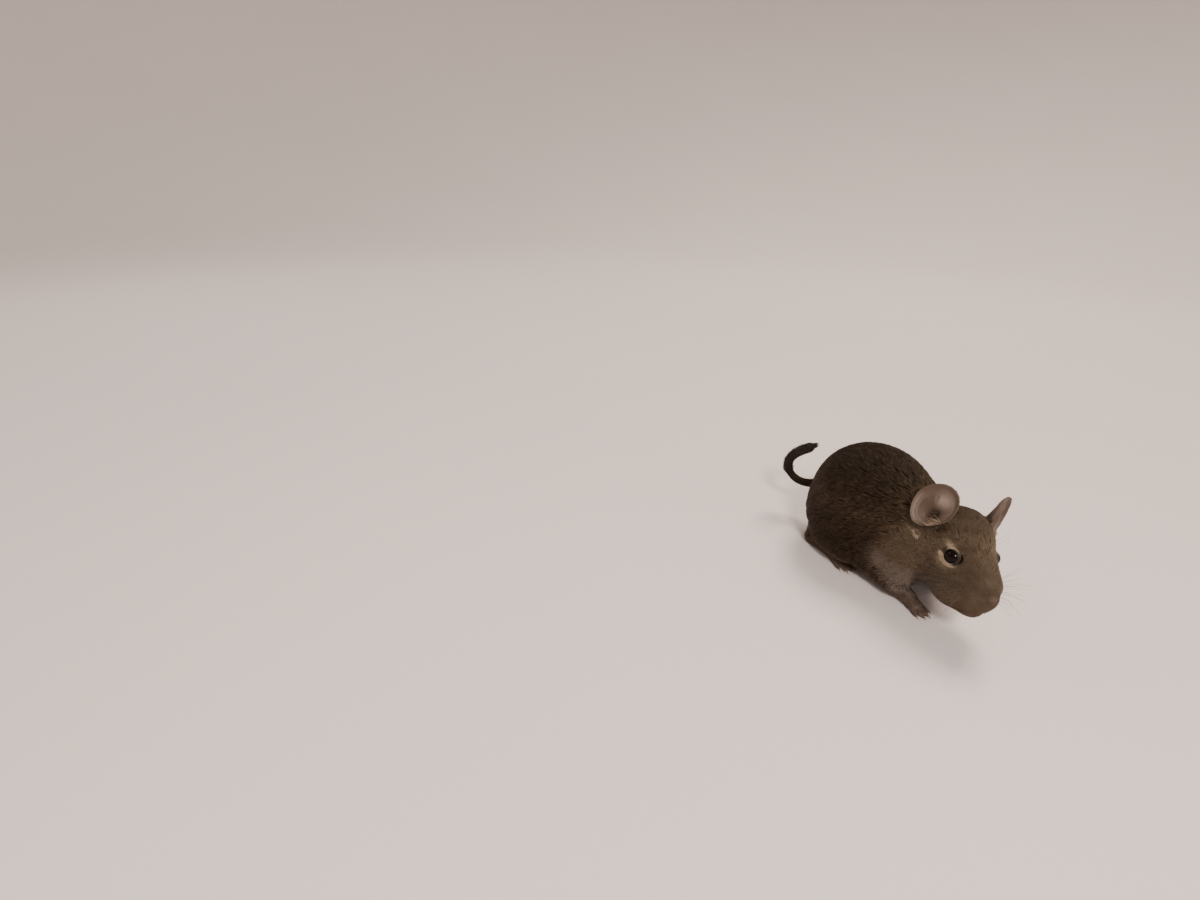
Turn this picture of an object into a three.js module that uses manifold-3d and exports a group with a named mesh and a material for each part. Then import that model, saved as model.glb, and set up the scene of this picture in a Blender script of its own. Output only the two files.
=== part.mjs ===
// A degu as a still, life-size model: hunched on all fours, head low and turned to its right, tail curled over.
// Lengths are in millimetres. The nose points along -Y, the animal's left is +X and the floor is Z = 0.
import * as THREE from "three";
import { mergeVertices } from "three/addons/utils/BufferGeometryUtils.js";
import Module from "manifold-3d";

const wasm = await Module();
wasm.setup();

// Driving dimensions, out to the tips of the coat
const BACK_HEIGHT = 77;
const HAUNCH_WIDTH = 70;
const CHEST_WIDTH = 54;
const BELLY_CLEARANCE = 8;
const HEAD_SCALE = 1.09;
const HEAD_PITCH = 12.8;
const HEAD_ROLL = 1.9;
const HEAD_YAW = -27.3;
const EYE_RADIUS = 4.4;
const EAR_WIDTH = 21.5;
const EAR_HEIGHT = 28;
const EAR_DEPTH = 5.6;
const TAIL_RADIUS = 2.6;
const BRUSH_START = 0.6;
const BRUSH_LENGTH = 9;
const BRUSH_SPREAD = 0.12;
const BRUSH_ROWS = 4;
const BRUSH_LOCKS = 5;
const GAP = 0.3;

// Cell sizes of the meshes, finer where the animal has more form
const TORSO_CELL = 6;
const NECK_CELL = 4.2;
const LEG_CELL = 3.8;
const HEAD_CELL = 2.5;

const LEFT = 1;
const RIGHT = -1;

const V = (x, y, z) => new THREE.Vector3(x, y, z);
const { degToRad, lerp, clamp } = THREE.MathUtils;

// Fields: each form is a function of a point that gives its distance to the surface, below zero inside.
function egg(center, radii, turn = new THREE.Quaternion()) {
  const back = turn.clone().invert();
  const q = V();
  return (p) => {
    q.copy(p).sub(center).applyQuaternion(back).divide(radii);
    const near = q.length();
    return (near * (near - 1)) / (q.divide(radii).length() + 1e-9);
  };
}

function taper(start, startRadius, end, endRadius) {
  const axis = end.clone().sub(start);
  const q = V();
  return (p) => {
    q.copy(p).sub(start);
    const t = clamp(q.dot(axis) / axis.lengthSq(), 0, 1);
    return q.addScaledVector(axis, -t).length() - lerp(startRadius, endRadius, t);
  };
}

// Forms that flow into one another over a soft width.
function blend(soft, forms) {
  return (p) =>
    forms.reduce((distance, form) => {
      const other = form(p);
      const share = Math.max(soft - Math.abs(distance - other), 0) / soft;
      return Math.min(distance, other) - (share * share * soft) / 4;
    }, Infinity);
}

// The values of a field at the corners of a grid of cells, with a closed rim round the box.
function sample(field, box, cell) {
  const size = box.getSize(V()).divideScalar(cell).ceil().addScalar(1).toArray();
  const value = new Float64Array(size[0] * size[1] * size[2]);
  const corner = V();
  const isRim = (n, axis) => n === 0 || n === size[axis] - 1;
  let s = 0;
  for (let k = 0; k < size[2]; k++)
    for (let j = 0; j < size[1]; j++)
      for (let i = 0; i < size[0]; i++) {
        const distance = field(corner.set(i, j, k).multiplyScalar(cell).add(box.min));
        const rim = isRim(i, 0) || isRim(j, 1) || isRim(k, 2);
        value[s++] = rim ? Math.max(distance, cell / 4) : distance;
      }
  return { value, size, stride: [1, size[0], size[0] * size[1]] };
}

// A face whose inside corners lie crosswise would pinch the mesh, so the nearer of its outside corners is filled.
function fillPinches({ value, stride }) {
  let pinched = true;
  while (pinched) {
    pinched = false;
    for (let s = 0; s < value.length; s++)
      for (let a = 0; a < 3; a++) {
        const u = stride[a];
        const v = stride[(a + 1) % 3];
        const face = [s, s + u, s + u + v, s + v];
        const inside = face.map((n) => value[n] < 0);
        if (inside[0] !== inside[2] || inside[1] !== inside[3] || inside[0] === inside[1]) continue;
        const outside = face.filter((n, c) => !inside[c]);
        if (outside.some((n) => n >= value.length)) continue;
        const nearer = value[outside[0]] < value[outside[1]] ? outside[0] : outside[1];
        value[nearer] = -1e-3;
        pinched = true;
      }
  }
}

// Moves a point of the mesh onto the surface of the field, where that is near.
function settle(field, point, cell) {
  const reach = cell / 20;
  for (let n = 0; n < 2; n++) {
    const distance = field(point);
    const slope = [0, 1, 2].map((a) => {
      const beside = point.clone();
      beside.setComponent(a, beside.getComponent(a) + reach);
      return (field(beside) - distance) / reach;
    });
    const steep = V(...slope);
    if (Math.abs(distance) > cell / 2 || steep.lengthSq() < 0.1) return;
    point.addScaledVector(steep, -distance / steep.lengthSq());
  }
}

// The surface of a field as a closed mesh: a point in each cell that it crosses, four cells to a face.
function surface(field, box, cell) {
  const grid = sample(field, box, cell);
  fillPinches(grid);
  const { value, size, stride } = grid;
  const corners = [0, 1, 2, 3, 4, 5, 6, 7].map((n) => [n & 1, (n >> 1) & 1, n >> 2]);
  const number = new Map();
  const points = [];
  for (let k = 0; k < size[2] - 1; k++)
    for (let j = 0; j < size[1] - 1; j++)
      for (let i = 0; i < size[0] - 1; i++) {
        const home = i + stride[1] * j + stride[2] * k;
        const sum = V(0, 0, 0);
        let count = 0;
        for (const corner of corners)
          for (let a = 0; a < 3; a++) {
            if (corner[a]) continue;
            const s = home + corner[0] + stride[1] * corner[1] + stride[2] * corner[2];
            const from = value[s];
            const to = value[s + stride[a]];
            if (from < 0 === to < 0) continue;
            const cross = V(i + corner[0], j + corner[1], k + corner[2]);
            cross.setComponent(a, cross.getComponent(a) + from / (from - to));
            sum.add(cross);
            count++;
          }
        if (!count) continue;
        number.set(home, points.length);
        points.push(sum.multiplyScalar(cell / count).add(box.min));
      }
  points.forEach((point) => settle(field, point, cell));
  const index = [];
  for (let s = 0; s < value.length; s++)
    for (let a = 0; a < 3; a++) {
      if (value[s] < 0 === value[s + stride[a]] < 0) continue;
      const u = stride[(a + 1) % 3];
      const v = stride[(a + 2) % 3];
      const quad = [s, s - u, s - u - v, s - v].map((n) => number.get(n));
      if (quad.includes(undefined)) continue;
      const [q0, q1, q2, q3] = value[s] < 0 ? quad : quad.reverse();
      const short = points[q0].distanceTo(points[q2]) < points[q1].distanceTo(points[q3]);
      index.push(...(short ? [q0, q1, q2, q0, q2, q3] : [q0, q1, q3, q1, q2, q3]));
    }
  return new THREE.BufferGeometry().setFromPoints(points).setIndex(index);
}

// Solids
function solid(geometry) {
  const bare = new THREE.BufferGeometry().setAttribute("position", geometry.getAttribute("position"));
  const joined = mergeVertices(bare.setIndex(geometry.index), 1e-4);
  return new wasm.Manifold(
    new wasm.Mesh({
      numProp: 3,
      vertProperties: new Float32Array(joined.attributes.position.array),
      triVerts: new Uint32Array(joined.index.array),
    }),
  );
}

const join = (solids) => solids.reduce((all, next) => all.add(next));

// A closed tube along a curve through a few points. A ring's half width and half height come from size(t).
function tube(points, sides, rings, size, up = V(0, 0, 1)) {
  const curve = new THREE.CatmullRomCurve3(points);
  const ring = [];
  for (let r = 0; r <= rings; r++) {
    const t = r / rings;
    const middle = curve.getPointAt(t);
    const along = curve.getTangentAt(t);
    const across = along.clone().cross(up).normalize();
    const over = across.clone().cross(along);
    const [wide, high] = size(t);
    for (let s = 0; s < sides; s++) {
      const angle = (s / sides) * 2 * Math.PI;
      const out = middle.clone().addScaledVector(across, wide * Math.cos(angle));
      ring.push(out.addScaledVector(over, high * Math.sin(angle)));
    }
  }
  const index = [];
  for (let r = 0; r < rings; r++)
    for (let s = 0; s < sides; s++) {
      const a = r * sides + s;
      const b = r * sides + ((s + 1) % sides);
      index.push(a, b + sides, b, a, a + sides, b + sides);
    }
  const last = rings * sides;
  for (let s = 1; s < sides - 1; s++) {
    index.push(0, s, s + 1);
    index.push(last, last + s + 1, last + s);
  }
  return solid(new THREE.BufferGeometry().setFromPoints(ring).setIndex(index));
}

function block(min, max) {
  const size = max.clone().sub(min);
  const middle = min.clone().add(max).multiplyScalar(0.5);
  return solid(new THREE.BoxGeometry(size.x, size.y, size.z).translate(middle.x, middle.y, middle.z));
}

// All of the space on the side of a plane that its normal points to, half a gap away from it.
function side(point, normal) {
  const FAR = 400;
  const n = normal.clone().normalize();
  const at = point.clone().addScaledVector(n, GAP / 2);
  const box = new THREE.BoxGeometry(FAR, FAR, FAR).translate(0, 0, FAR / 2);
  box.applyQuaternion(new THREE.Quaternion().setFromUnitVectors(V(0, 0, 1), n));
  return solid(box.translate(at.x, at.y, at.z));
}

function sphere(center, radius, segments) {
  const ball = new THREE.SphereGeometry(radius, segments, Math.round(segments * 0.7));
  return solid(ball.translate(center.x, center.y, center.z));
}

const degu = new THREE.Group();
const coatLook = new THREE.MeshStandardMaterial({ color: 0x5a4632, roughness: 0.9 });
const skinLook = new THREE.MeshStandardMaterial({ color: 0x75655c, roughness: 0.6 });
const eyeLook = new THREE.MeshStandardMaterial({ color: 0x120c09, roughness: 0.05 });
const brushLook = new THREE.MeshStandardMaterial({ color: 0x1d1713, roughness: 0.85 });

// Adds the largest closed surface of a solid as one named mesh.
function add(name, made, look = coatLook) {
  const body = made.decompose().sort((a, b) => b.volume() - a.volume())[0];
  const { vertProperties, triVerts } = body.getMesh();
  const geometry = new THREE.BufferGeometry();
  geometry.setAttribute("position", new THREE.BufferAttribute(new Float32Array(vertProperties), 3));
  geometry.setIndex(new THREE.BufferAttribute(new Uint32Array(triVerts), 1));
  geometry.computeVertexNormals();
  const mesh = new THREE.Mesh(geometry, look);
  mesh.name = name;
  degu.add(mesh);
}

// Body
const haunchHalfHeight = (BACK_HEIGHT - BELLY_CLEARANCE) / 2;
const haunch = egg(V(0, 19.5, BELLY_CLEARANCE + haunchHalfHeight), V(HAUNCH_WIDTH / 2 - 1, 31.5, haunchHalfHeight));
const ribs = egg(V(0, 4, 41), V(CHEST_WIDTH / 2 + 2, 29.5, 34));
const shoulders = egg(V(0, -25.7, 35.5), V(CHEST_WIDTH / 2 - 1, 20.4, 28.3));
const rump = egg(V(0, 32.5, 24), V(26.3, 15.3, 18));
const ROOT_OF_TAIL = V(1, 51.5, 31.5);

function haunchAndShank(hand) {
  return blend(6, [
    egg(V(hand * 24, 16, 27), V(11.5, 21, 20)),
    taper(V(hand * 25, 2, 17), 9.5, V(hand * 21, 32, 8), 6),
  ]);
}
function shoulderAndArm(hand, wrist) {
  return blend(5, [
    egg(V(hand * 18, -18, 28), V(11, 15, 18)),
    taper(V(hand * 21, -10, 17), 10, V(hand * 19, -26, 11), 7),
    taper(V(hand * 19, -26, 11), 6.5, wrist, 4.2),
  ]);
}
const wrists = { [RIGHT]: V(-17.5, -36.5, 5.6), [LEFT]: V(14, -36, 5.6) };

// Head, in its own frame with the origin midway between the ear roots, turned and set in place
const headTurn = new THREE.Quaternion().setFromEuler(
  new THREE.Euler(...[HEAD_PITCH, HEAD_ROLL, HEAD_YAW].map(degToRad), "ZXY"),
);
const headPlace = V(-3.2, -41.6, 59.8);
const onHead = (x, y, z) => V(x, y, z).multiplyScalar(HEAD_SCALE).applyQuaternion(headTurn).add(headPlace);
const alongHead = (x, y, z) => V(x, y, z).applyQuaternion(headTurn).normalize();
const headEgg = (c, r) => egg(onHead(...c), V(...r).multiplyScalar(HEAD_SCALE), headTurn);
const headTaper = (a, ra, b, rb) => taper(onHead(...a), ra * HEAD_SCALE, onHead(...b), rb * HEAD_SCALE);
const both = (make) => [make(LEFT), make(RIGHT)];
const head = blend(4, [
  headEgg([0, -5.3, -5.6], [13.3, 17.1, 15.2]),
  headEgg([0, -12, -16], [13.5, 15, 12]),
  ...both((hand) => headEgg([hand * 6, -13, -14], [8, 12, 11])),
  ...both((hand) => headEgg([hand * 6.4, -23.4, -23.2], [9, 12.5, 9.6])),
  headEgg([0, -26, -14.8], [9.4, 14, 10.3]),
  headTaper([0, -12, -2], 9.3, [0, -33.6, -9.1], 6.4),
  ...both((hand) => headEgg([hand * 4.3, -31.9, -19.2], [6, 8.2, 7.1])),
  headTaper([0, -16, -24], 9.5, [0, -33.8, -24.9], 6.5),
]);
const neck = blend(6, [
  taper(V(0, -18, 38), 19, V(-2.5, -36, 42), 14),
  taper(V(-2, -24, 30), 18, V(-7, -42, 33), 13),
]);
const trunk = blend(15, [haunch, ribs, shoulders, rump]);
const whole = blend(5, [
  trunk,
  neck,
  head,
  ...both(haunchAndShank),
  ...both((hand) => shoulderAndArm(hand, wrists[hand])),
]);

// Thin cuts: head from neck, neck from torso, and blocks that part the legs
const headCut = [V(-0.7, -36.5, 62), V(-0.42, -0.88, 0.28)];
const neckCut = [V(-1, -24, 66), V(-0.15, -0.95, 0.2)];
const inFront = ([point, normal]) => side(point, normal);
const behind = ([point, normal]) => side(point, normal.clone().negate());
const WRIST_Y = -35;
const ANKLE_Z = 7;

function legBlock(hand, near, far, low, high, y0, y1, grow) {
  const x = [hand * near, hand * far].sort((a, b) => a - b);
  return block(V(x[0] - grow, y0 - grow, low - grow), V(x[1] + grow, y1 + grow, high + grow));
}
const foreBlock = (hand, grow) => legBlock(hand, 8, 50, -5, 24, WRIST_Y - 20, -5, grow);
const hindBlock = (hand, grow) => legBlock(hand, 13, 60, -5, 34, -2, 70, grow);
const legSpace = join(both((hand) => foreBlock(hand, GAP).add(hindBlock(hand, GAP))));

const torsoMesh = solid(surface(whole, new THREE.Box3(V(-45, -60, -4), V(45, 62, 92)), TORSO_CELL));
add("torso", torsoMesh.intersect(behind(neckCut)).subtract(legSpace));

const neckMesh = solid(surface(whole, new THREE.Box3(V(-45, -72, -4), V(45, 2, 88)), NECK_CELL));
add("neck", neckMesh.intersect(inFront(neckCut)).intersect(behind(headCut)).subtract(legSpace));

// A digit from its knuckle to its claw: it rises, bends down and rests its pad on the floor.
function digit(root, heading, length, radius, clawLength) {
  const across = V(Math.sin(heading), -Math.cos(heading), 0);
  const at = (along, z) => root.clone().setZ(z).addScaledVector(across, along);
  const toe = tube([at(0, root.z), at(length * 0.45, radius * 1.5), at(length, radius * 0.85)], 6, 4, (t) => {
    const r = radius * lerp(1.05, 0.8, t);
    return [r, r];
  });
  const claw = tube(
    [at(length * 0.8, radius), at(length + clawLength * 0.4, radius * 1.05), at(length + clawLength, 0.45)],
    5,
    3,
    (t) => [lerp(radius * 0.55, 0.2, t), lerp(radius * 0.6, 0.2, t)],
  );
  return toe.add(claw);
}

const aboveFloor = block(V(-200, -200, 0), V(200, 200, 200));

function forepaw(name, wrist, hand) {
  const palmField = blend(2, [
    taper(wrist, 4.4, V(wrist.x + hand * 0.5, wrist.y - 5, 3), 3.6),
    egg(V(wrist.x + hand * 0.7, wrist.y - 7, 2.6), V(4.2, 4, 2.8)),
  ]);
  const reach = new THREE.Box3(wrist.clone().add(V(-8, -16, -9)), wrist.clone().add(V(8, 9, 6)));
  const palm = solid(surface(palmField, reach, 2.1));
  const toes = [];
  for (let n = 0; n < 4; n++) {
    const spread = (n - 1.5) * 0.24 * hand + hand * 0.08;
    const root = V(wrist.x + hand * (0.7 + (n - 1.5) * 2.1), wrist.y - 8.5 + Math.abs(n - 1.4) * 0.9, 2.4);
    toes.push(digit(root, spread, [4.4, 5.4, 5.2, 4.2][n], 1.35, 2.2));
  }
  toes.push(digit(V(wrist.x - hand * 2.6, wrist.y - 4, 2.2), -hand * 0.9, 2.4, 0.9, 0.9));
  const paw = join([palm, ...toes]).intersect(aboveFloor);
  add(name, paw.intersect(side(V(0, WRIST_Y, 0), V(0, -1, 0))), skinLook);
}

function hindfoot(name, heel, hand) {
  const ball = V(heel.x + hand * 2, heel.y - 24, 2.6);
  const soleField = blend(3, [
    egg(heel, V(5.4, 6.5, 5.4)),
    taper(V(heel.x, heel.y - 2, 3.6), 4.2, ball, 3.2),
    egg(ball, V(5, 5, 2.9)),
  ]);
  const reach = new THREE.Box3(V(heel.x - 10, ball.y - 8, -4), V(heel.x + 10, heel.y + 10, 14));
  const sole = solid(surface(soleField, reach, 2.4));
  const toes = [];
  for (let n = 0; n < 5; n++) {
    const spread = (n - 2) * 0.17 * hand + hand * 0.06;
    const root = V(ball.x + hand * (n - 2) * 2, ball.y - 2.5 + Math.abs(n - 2) * 1.3, 2.4);
    toes.push(digit(root, spread, [5, 7.8, 8.6, 8, 5.4][n], 1.35, 3));
  }
  const foot = join([sole, ...toes]).intersect(aboveFloor);
  add(name, foot.intersect(side(V(0, 0, ANKLE_Z), V(0, 0, -1))), skinLook);
}

for (const [hand, which] of [[RIGHT, "right"], [LEFT, "left"]]) {
  const x = [hand * 4, hand * 46].sort((a, b) => a - b);
  const hind = solid(surface(whole, new THREE.Box3(V(x[0], -12, -4), V(x[1], 62, 44)), LEG_CELL));
  add("hindleg_" + which, hind.intersect(hindBlock(hand, 0)).intersect(side(V(0, 0, ANKLE_Z), V(0, 0, 1))));
  const fore = solid(surface(whole, new THREE.Box3(V(x[0], -58, -4), V(x[1], 2, 34)), LEG_CELL * 0.8));
  add("foreleg_" + which, fore.intersect(foreBlock(hand, 0)).intersect(side(V(0, WRIST_Y, 0), V(0, 1, 0))));
  forepaw("forepaw_" + which, wrists[hand], hand);
  hindfoot("hindfoot_" + which, V(hand * 21, 33, 5), hand);
}

// Head with lids, nostrils and the line of the mouth
const headBox = new THREE.Box3(V(-58, -105, 8), V(32, -20, 82));
const headMesh = solid(surface(whole, headBox, HEAD_CELL));
const eyeAt = (hand) => onHead(hand * 10.3, -18.7, -6.8);
const eyeAxis = (hand) => alongHead(hand * 0.92, -0.28, 0.28);

function lids(hand) {
  const ring = new THREE.TorusGeometry(EYE_RADIUS * 0.96, 0.85, 6, 18);
  ring.scale(1.08, 0.94, 1);
  ring.applyQuaternion(new THREE.Quaternion().setFromUnitVectors(V(0, 0, 1), eyeAxis(hand)));
  const at = eyeAt(hand).addScaledVector(eyeAxis(hand), EYE_RADIUS * 0.36);
  return solid(ring.translate(at.x, at.y, at.z));
}

const nosePad = solid(surface(headEgg([0, -39.4, -10.8], [3.2, 2.9, 2.8]), headBox, 1.4));
const mouthPath = [[-11, -28, -26.5], [-8, -36, -26], [0, -41, -24.5], [8, -36, -26], [11, -28, -26.5]];
const mouth = tube(mouthPath.map((c) => onHead(...c)), 5, 14, () => [0.9, 0.9]);
const cleft = tube([onHead(0, -42.8, -13), onHead(0, -41, -24.5)], 5, 3, () => [0.7, 1.6], alongHead(0, 1, 0));
const nostril = (hand) =>
  tube([onHead(hand * 2.6, -43, -10), onHead(hand * 1.2, -39.5, -10.6)], 5, 2, () => [0.8, 1]);

let face = join([headMesh.intersect(inFront(headCut)), nosePad, ...both(lids)]);
for (const hand of [LEFT, RIGHT]) {
  face = face.subtract(sphere(eyeAt(hand), EYE_RADIUS + GAP, 20)).subtract(nostril(hand));
  add(hand === LEFT ? "eye_left" : "eye_right", sphere(eyeAt(hand), EYE_RADIUS, 16), eyeLook);
}
add("head", face.subtract(mouth).subtract(cleft));

// Ears: thin cupped shells, rings of points from the middle of the cup out to the rim
const headSpace = solid(surface((p) => whole(p) - GAP * 1.2, headBox, HEAD_CELL));
const napeBox = new THREE.Box3(V(-40, -48, 20), V(40, 0, 88));
const napeSpace = solid(surface((p) => whole(p) - GAP * 3, napeBox, NECK_CELL)).intersect(behind(headCut));

function ear(hand, center, openTo, upTo) {
  const open = alongHead(...openTo);
  const up = alongHead(...upTo).projectOnPlane(open).normalize();
  const out = up.clone().cross(open).multiplyScalar(hand);
  const middle = onHead(...center);
  const RINGS = 5;
  const SEGMENTS = 22;
  const THICK = 0.9;
  const CANAL_IN = 2.5;
  const CANAL_DOWN = 5.5;
  const ROOT_RADIUS = 4.4;
  const root = middle.clone().addScaledVector(out, -CANAL_IN).addScaledVector(up, -CANAL_DOWN);
  root.addScaledVector(open, -EAR_DEPTH - ROOT_RADIUS + THICK / 2);
  const shell = (depth) => {
    const points = [];
    for (let r = 0; r <= RINGS; r++)
      for (let s = 0; s < (r ? SEGMENTS : 1); s++) {
        const angle = (s / SEGMENTS) * 2 * Math.PI;
        const reach = r / RINGS;
        const narrow = 1 - 0.18 * Math.max(0, -Math.sin(angle));
        const toCanal = Math.pow(1 - reach, 1.3);
        const w = Math.cos(angle) * reach * (EAR_WIDTH / 2) * narrow - toCanal * CANAL_IN;
        const h = Math.sin(angle) * reach * (EAR_HEIGHT / 2) - toCanal * CANAL_DOWN;
        const cup = depth - EAR_DEPTH * lerp(1 - reach * reach, toCanal * toCanal, 0.5);
        points.push(middle.clone().addScaledVector(out, w).addScaledVector(up, h).addScaledVector(open, cup));
      }
    return points;
  };
  const front = shell(0);
  const back = shell(-THICK);
  const N = front.length;
  const at = (r, s) => (r ? 1 + (r - 1) * SEGMENTS + (s % SEGMENTS) : 0);
  const index = [];
  for (let s = 0; s < SEGMENTS; s++) {
    for (let r = 0; r < RINGS; r++) {
      const [a, b, c, d] = [at(r, s), at(r + 1, s), at(r + 1, s + 1), at(r, s + 1)];
      index.push(a, b, c, N + a, N + c, N + b);
      if (r) index.push(a, c, d, N + a, N + d, N + c);
    }
    const [b, c] = [at(RINGS, s), at(RINGS, s + 1)];
    index.push(b, N + b, N + c, b, N + c, c);
  }
  if (hand === RIGHT) index.reverse();
  const made = new THREE.BufferGeometry().setFromPoints([...front, ...back]).setIndex(index);
  return solid(made).add(sphere(root, ROOT_RADIUS, 14)).subtract(headSpace).subtract(napeSpace);
}
add("ear_left", ear(LEFT, [16.2, -3.2, 4.5], [0.58, -0.79, 0.2], [0.31, 0.45, 0.84]), skinLook);
add("ear_right", ear(RIGHT, [-16.6, 2.4, 7.3], [-0.76, -0.5, 0.42], [0.27, -0.05, 0.96]), skinLook);

// Tail: out behind, up and over, with a brush of bristles on its last third
const tailPath = [
  [1, -11, 4],
  [0, 0, 0],
  [-2, 9, -3.5],
  [-5, 17, -4.5],
  [-8, 22.5, -1],
  [-10, 26, 6],
  [-9, 25, 13],
  [-6.5, 21, 19],
  [-4, 15, 24],
];
const torsoBox = new THREE.Box3(V(-45, 5, -4), V(45, 62, 92));
const torsoSpace = solid(surface((p) => whole(p) - GAP * 1.2, torsoBox, TORSO_CELL));
const tailCurve = new THREE.CatmullRomCurve3(tailPath.map((step) => ROOT_OF_TAIL.clone().add(V(...step))));
const tailRadius = (t) => TAIL_RADIUS * lerp(1.25, 0.7, t);

// The stretch of the tail from one share of its length to another
function tailPiece(from, to, rings) {
  const points = [];
  for (let n = 0; n <= rings; n++) points.push(tailCurve.getPointAt(lerp(from, to, n / rings)));
  return tube(points, 8, rings, (t) => [tailRadius(lerp(from, to, t)), tailRadius(lerp(from, to, t))], V(1, 0, 0));
}

// One flat lock of bristles that leaves the tail at share t, bends back along it and tapers to a tip
function lock(t, angle, length) {
  const along = tailCurve.getTangentAt(t);
  const over = V(1, 0, 0).projectOnPlane(along).normalize().applyAxisAngle(along, angle);
  const flat = along.clone().cross(over);
  const start = tailCurve.getPointAt(t).addScaledVector(over, tailRadius(t) * 0.3);
  const end = tailCurve.getPointAt(Math.min(t + length / tailCurve.getLength(), 1));
  const past = Math.max(t + length / tailCurve.getLength() - 1, 0) * tailCurve.getLength();
  end.addScaledVector(tailCurve.getTangentAt(1), past).addScaledVector(over, tailRadius(t) + length * BRUSH_SPREAD);
  const middle = start.clone().lerp(end, 0.5).addScaledVector(over, tailRadius(t) * 0.55);
  return tube([start, middle, end], 4, 3, (s) => [lerp(1.5, 0.3, s * s), lerp(0.7, 0.2, s)], flat.cross(along).negate());
}

const locks = [];
for (let row = 0; row < BRUSH_ROWS; row++)
  for (let n = 0; n < BRUSH_LOCKS; n++) {
    const t = lerp(BRUSH_START + 0.03, 0.97, row / (BRUSH_ROWS - 1));
    const angle = ((n + (row % 2) / 2) / BRUSH_LOCKS) * 2 * Math.PI;
    locks.push(lock(t, angle, lerp(7, BRUSH_LENGTH, row / (BRUSH_ROWS - 1))));
  }
const brushEdge = side(tailCurve.getPointAt(BRUSH_START), tailCurve.getTangentAt(BRUSH_START));
const baseEdge = side(tailCurve.getPointAt(BRUSH_START), tailCurve.getTangentAt(BRUSH_START).negate());
add("tail", tailPiece(0, BRUSH_START + 0.02, 14).intersect(baseEdge).subtract(torsoSpace), brushLook);
add("tail_brush", join([tailPiece(BRUSH_START - 0.02, 1, 8), ...locks]).intersect(brushEdge), brushLook);

// The middle of the model's foot is the origin.
const reachOfAll = new THREE.Box3().setFromObject(degu);
const middleOfAll = reachOfAll.getCenter(V());
degu.position.set(-middleOfAll.x, -middleOfAll.y, 0);

export default degu;
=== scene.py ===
"""A degu, still and life size: soft skin under a coat of solid tufts, wet eyes, cupped ears, a tail brush."""
import math
from collections import namedtuple

import bpy
import numpy as np
from mathutils import Matrix, Vector
from mathutils.bvhtree import BVHTree


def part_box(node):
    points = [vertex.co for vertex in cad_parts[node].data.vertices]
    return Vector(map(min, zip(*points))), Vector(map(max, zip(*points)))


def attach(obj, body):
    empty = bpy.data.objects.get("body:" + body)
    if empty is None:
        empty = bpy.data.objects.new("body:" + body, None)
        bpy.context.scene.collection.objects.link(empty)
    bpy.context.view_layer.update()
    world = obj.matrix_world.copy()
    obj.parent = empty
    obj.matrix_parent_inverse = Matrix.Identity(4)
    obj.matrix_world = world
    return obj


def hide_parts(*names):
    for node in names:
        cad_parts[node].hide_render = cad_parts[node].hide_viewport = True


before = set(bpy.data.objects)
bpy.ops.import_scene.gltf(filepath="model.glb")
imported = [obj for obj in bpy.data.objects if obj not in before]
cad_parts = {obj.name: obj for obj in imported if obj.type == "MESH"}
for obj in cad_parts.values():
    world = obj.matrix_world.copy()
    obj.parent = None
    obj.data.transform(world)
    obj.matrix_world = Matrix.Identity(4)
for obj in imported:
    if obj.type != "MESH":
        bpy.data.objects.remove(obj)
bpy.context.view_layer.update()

MM = 0.001
SIDES = {"right": -1, "left": 1}
random = np.random.default_rng(4600)
# The finished skin, with a tree that finds the nearest place on it
Skin = namedtuple("Skin", "points normals triangles tree")

# Sizes in millimetres and angles in degrees, the same as the solids'
HEAD_SCALE = 1.09
HEAD_PITCH, HEAD_ROLL, HEAD_YAW = 12.8, 1.9, -27.3
EYE_ON_HEAD = (10.3, -18.7, -6.8)
EYE_RADIUS = 4.4
EAR_WIDTH, EAR_HEIGHT, EAR_DEPTH = 21.5, 28, 5.6
CANAL_IN, CANAL_DOWN = 2.5, 5.5
EARS = {
    "left": {"middle": (16.2, -3.2, 4.5), "open": (0.58, -0.79, 0.2), "up": (0.31, 0.45, 0.84)},
    "right": {"middle": (-16.6, 2.4, 7.3), "open": (-0.76, -0.5, 0.42), "up": (0.27, -0.05, 0.96)},
}
WRIST_PLACES = {"right": (-17.5, -36.5), "left": (14, -36)}
HEEL_PLACES = {"right": (-21, 33), "left": (21, 33)}
PALM_LENGTH, SOLE_LENGTH = 8.5, 26.5
FORE_TOES = (4.4, 5.4, 5.2, 4.2)
HIND_TOES = (5, 7.8, 8.6, 8, 5.4)
FORE_TOE_GAP, HIND_TOE_GAP = 2.1, 2
THUMB_LENGTH = 2.4
TOE_RADIUS, THUMB_RADIUS = 1.35, 0.9
FORE_CLAW, THUMB_CLAW, HIND_CLAW = 2.2, 0.9, 3.0
TAIL_RADIUS = 2.6
TAIL_AT_ROOT, TAIL_AT_END = 1.25, 0.7
BRUSH_START = 0.6
ROOT_OF_TAIL = np.array([1, 51.5, 31.5])
TAIL_STEPS = (
    (1, -11, 4), (0, 0, 0), (-2, 9, -3.5), (-5, 17, -4.5), (-8, 22.5, -1),
    (-10, 26, 6), (-9, 25, 13), (-6.5, 21, 19), (-4, 15, 24),
)
# The solids' middle was set over the origin by this much along the body.
SHIFT = np.array([0, -0.561, 0])
# Where the solids of head, neck and torso meet: a point of each cut and the way it faces.
NECK_SEAMS = (((-0.7, -36.5, 62), (-0.42, -0.88, 0.28)), ((-1, -24, 66), (-0.15, -0.95, 0.2)))

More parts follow.
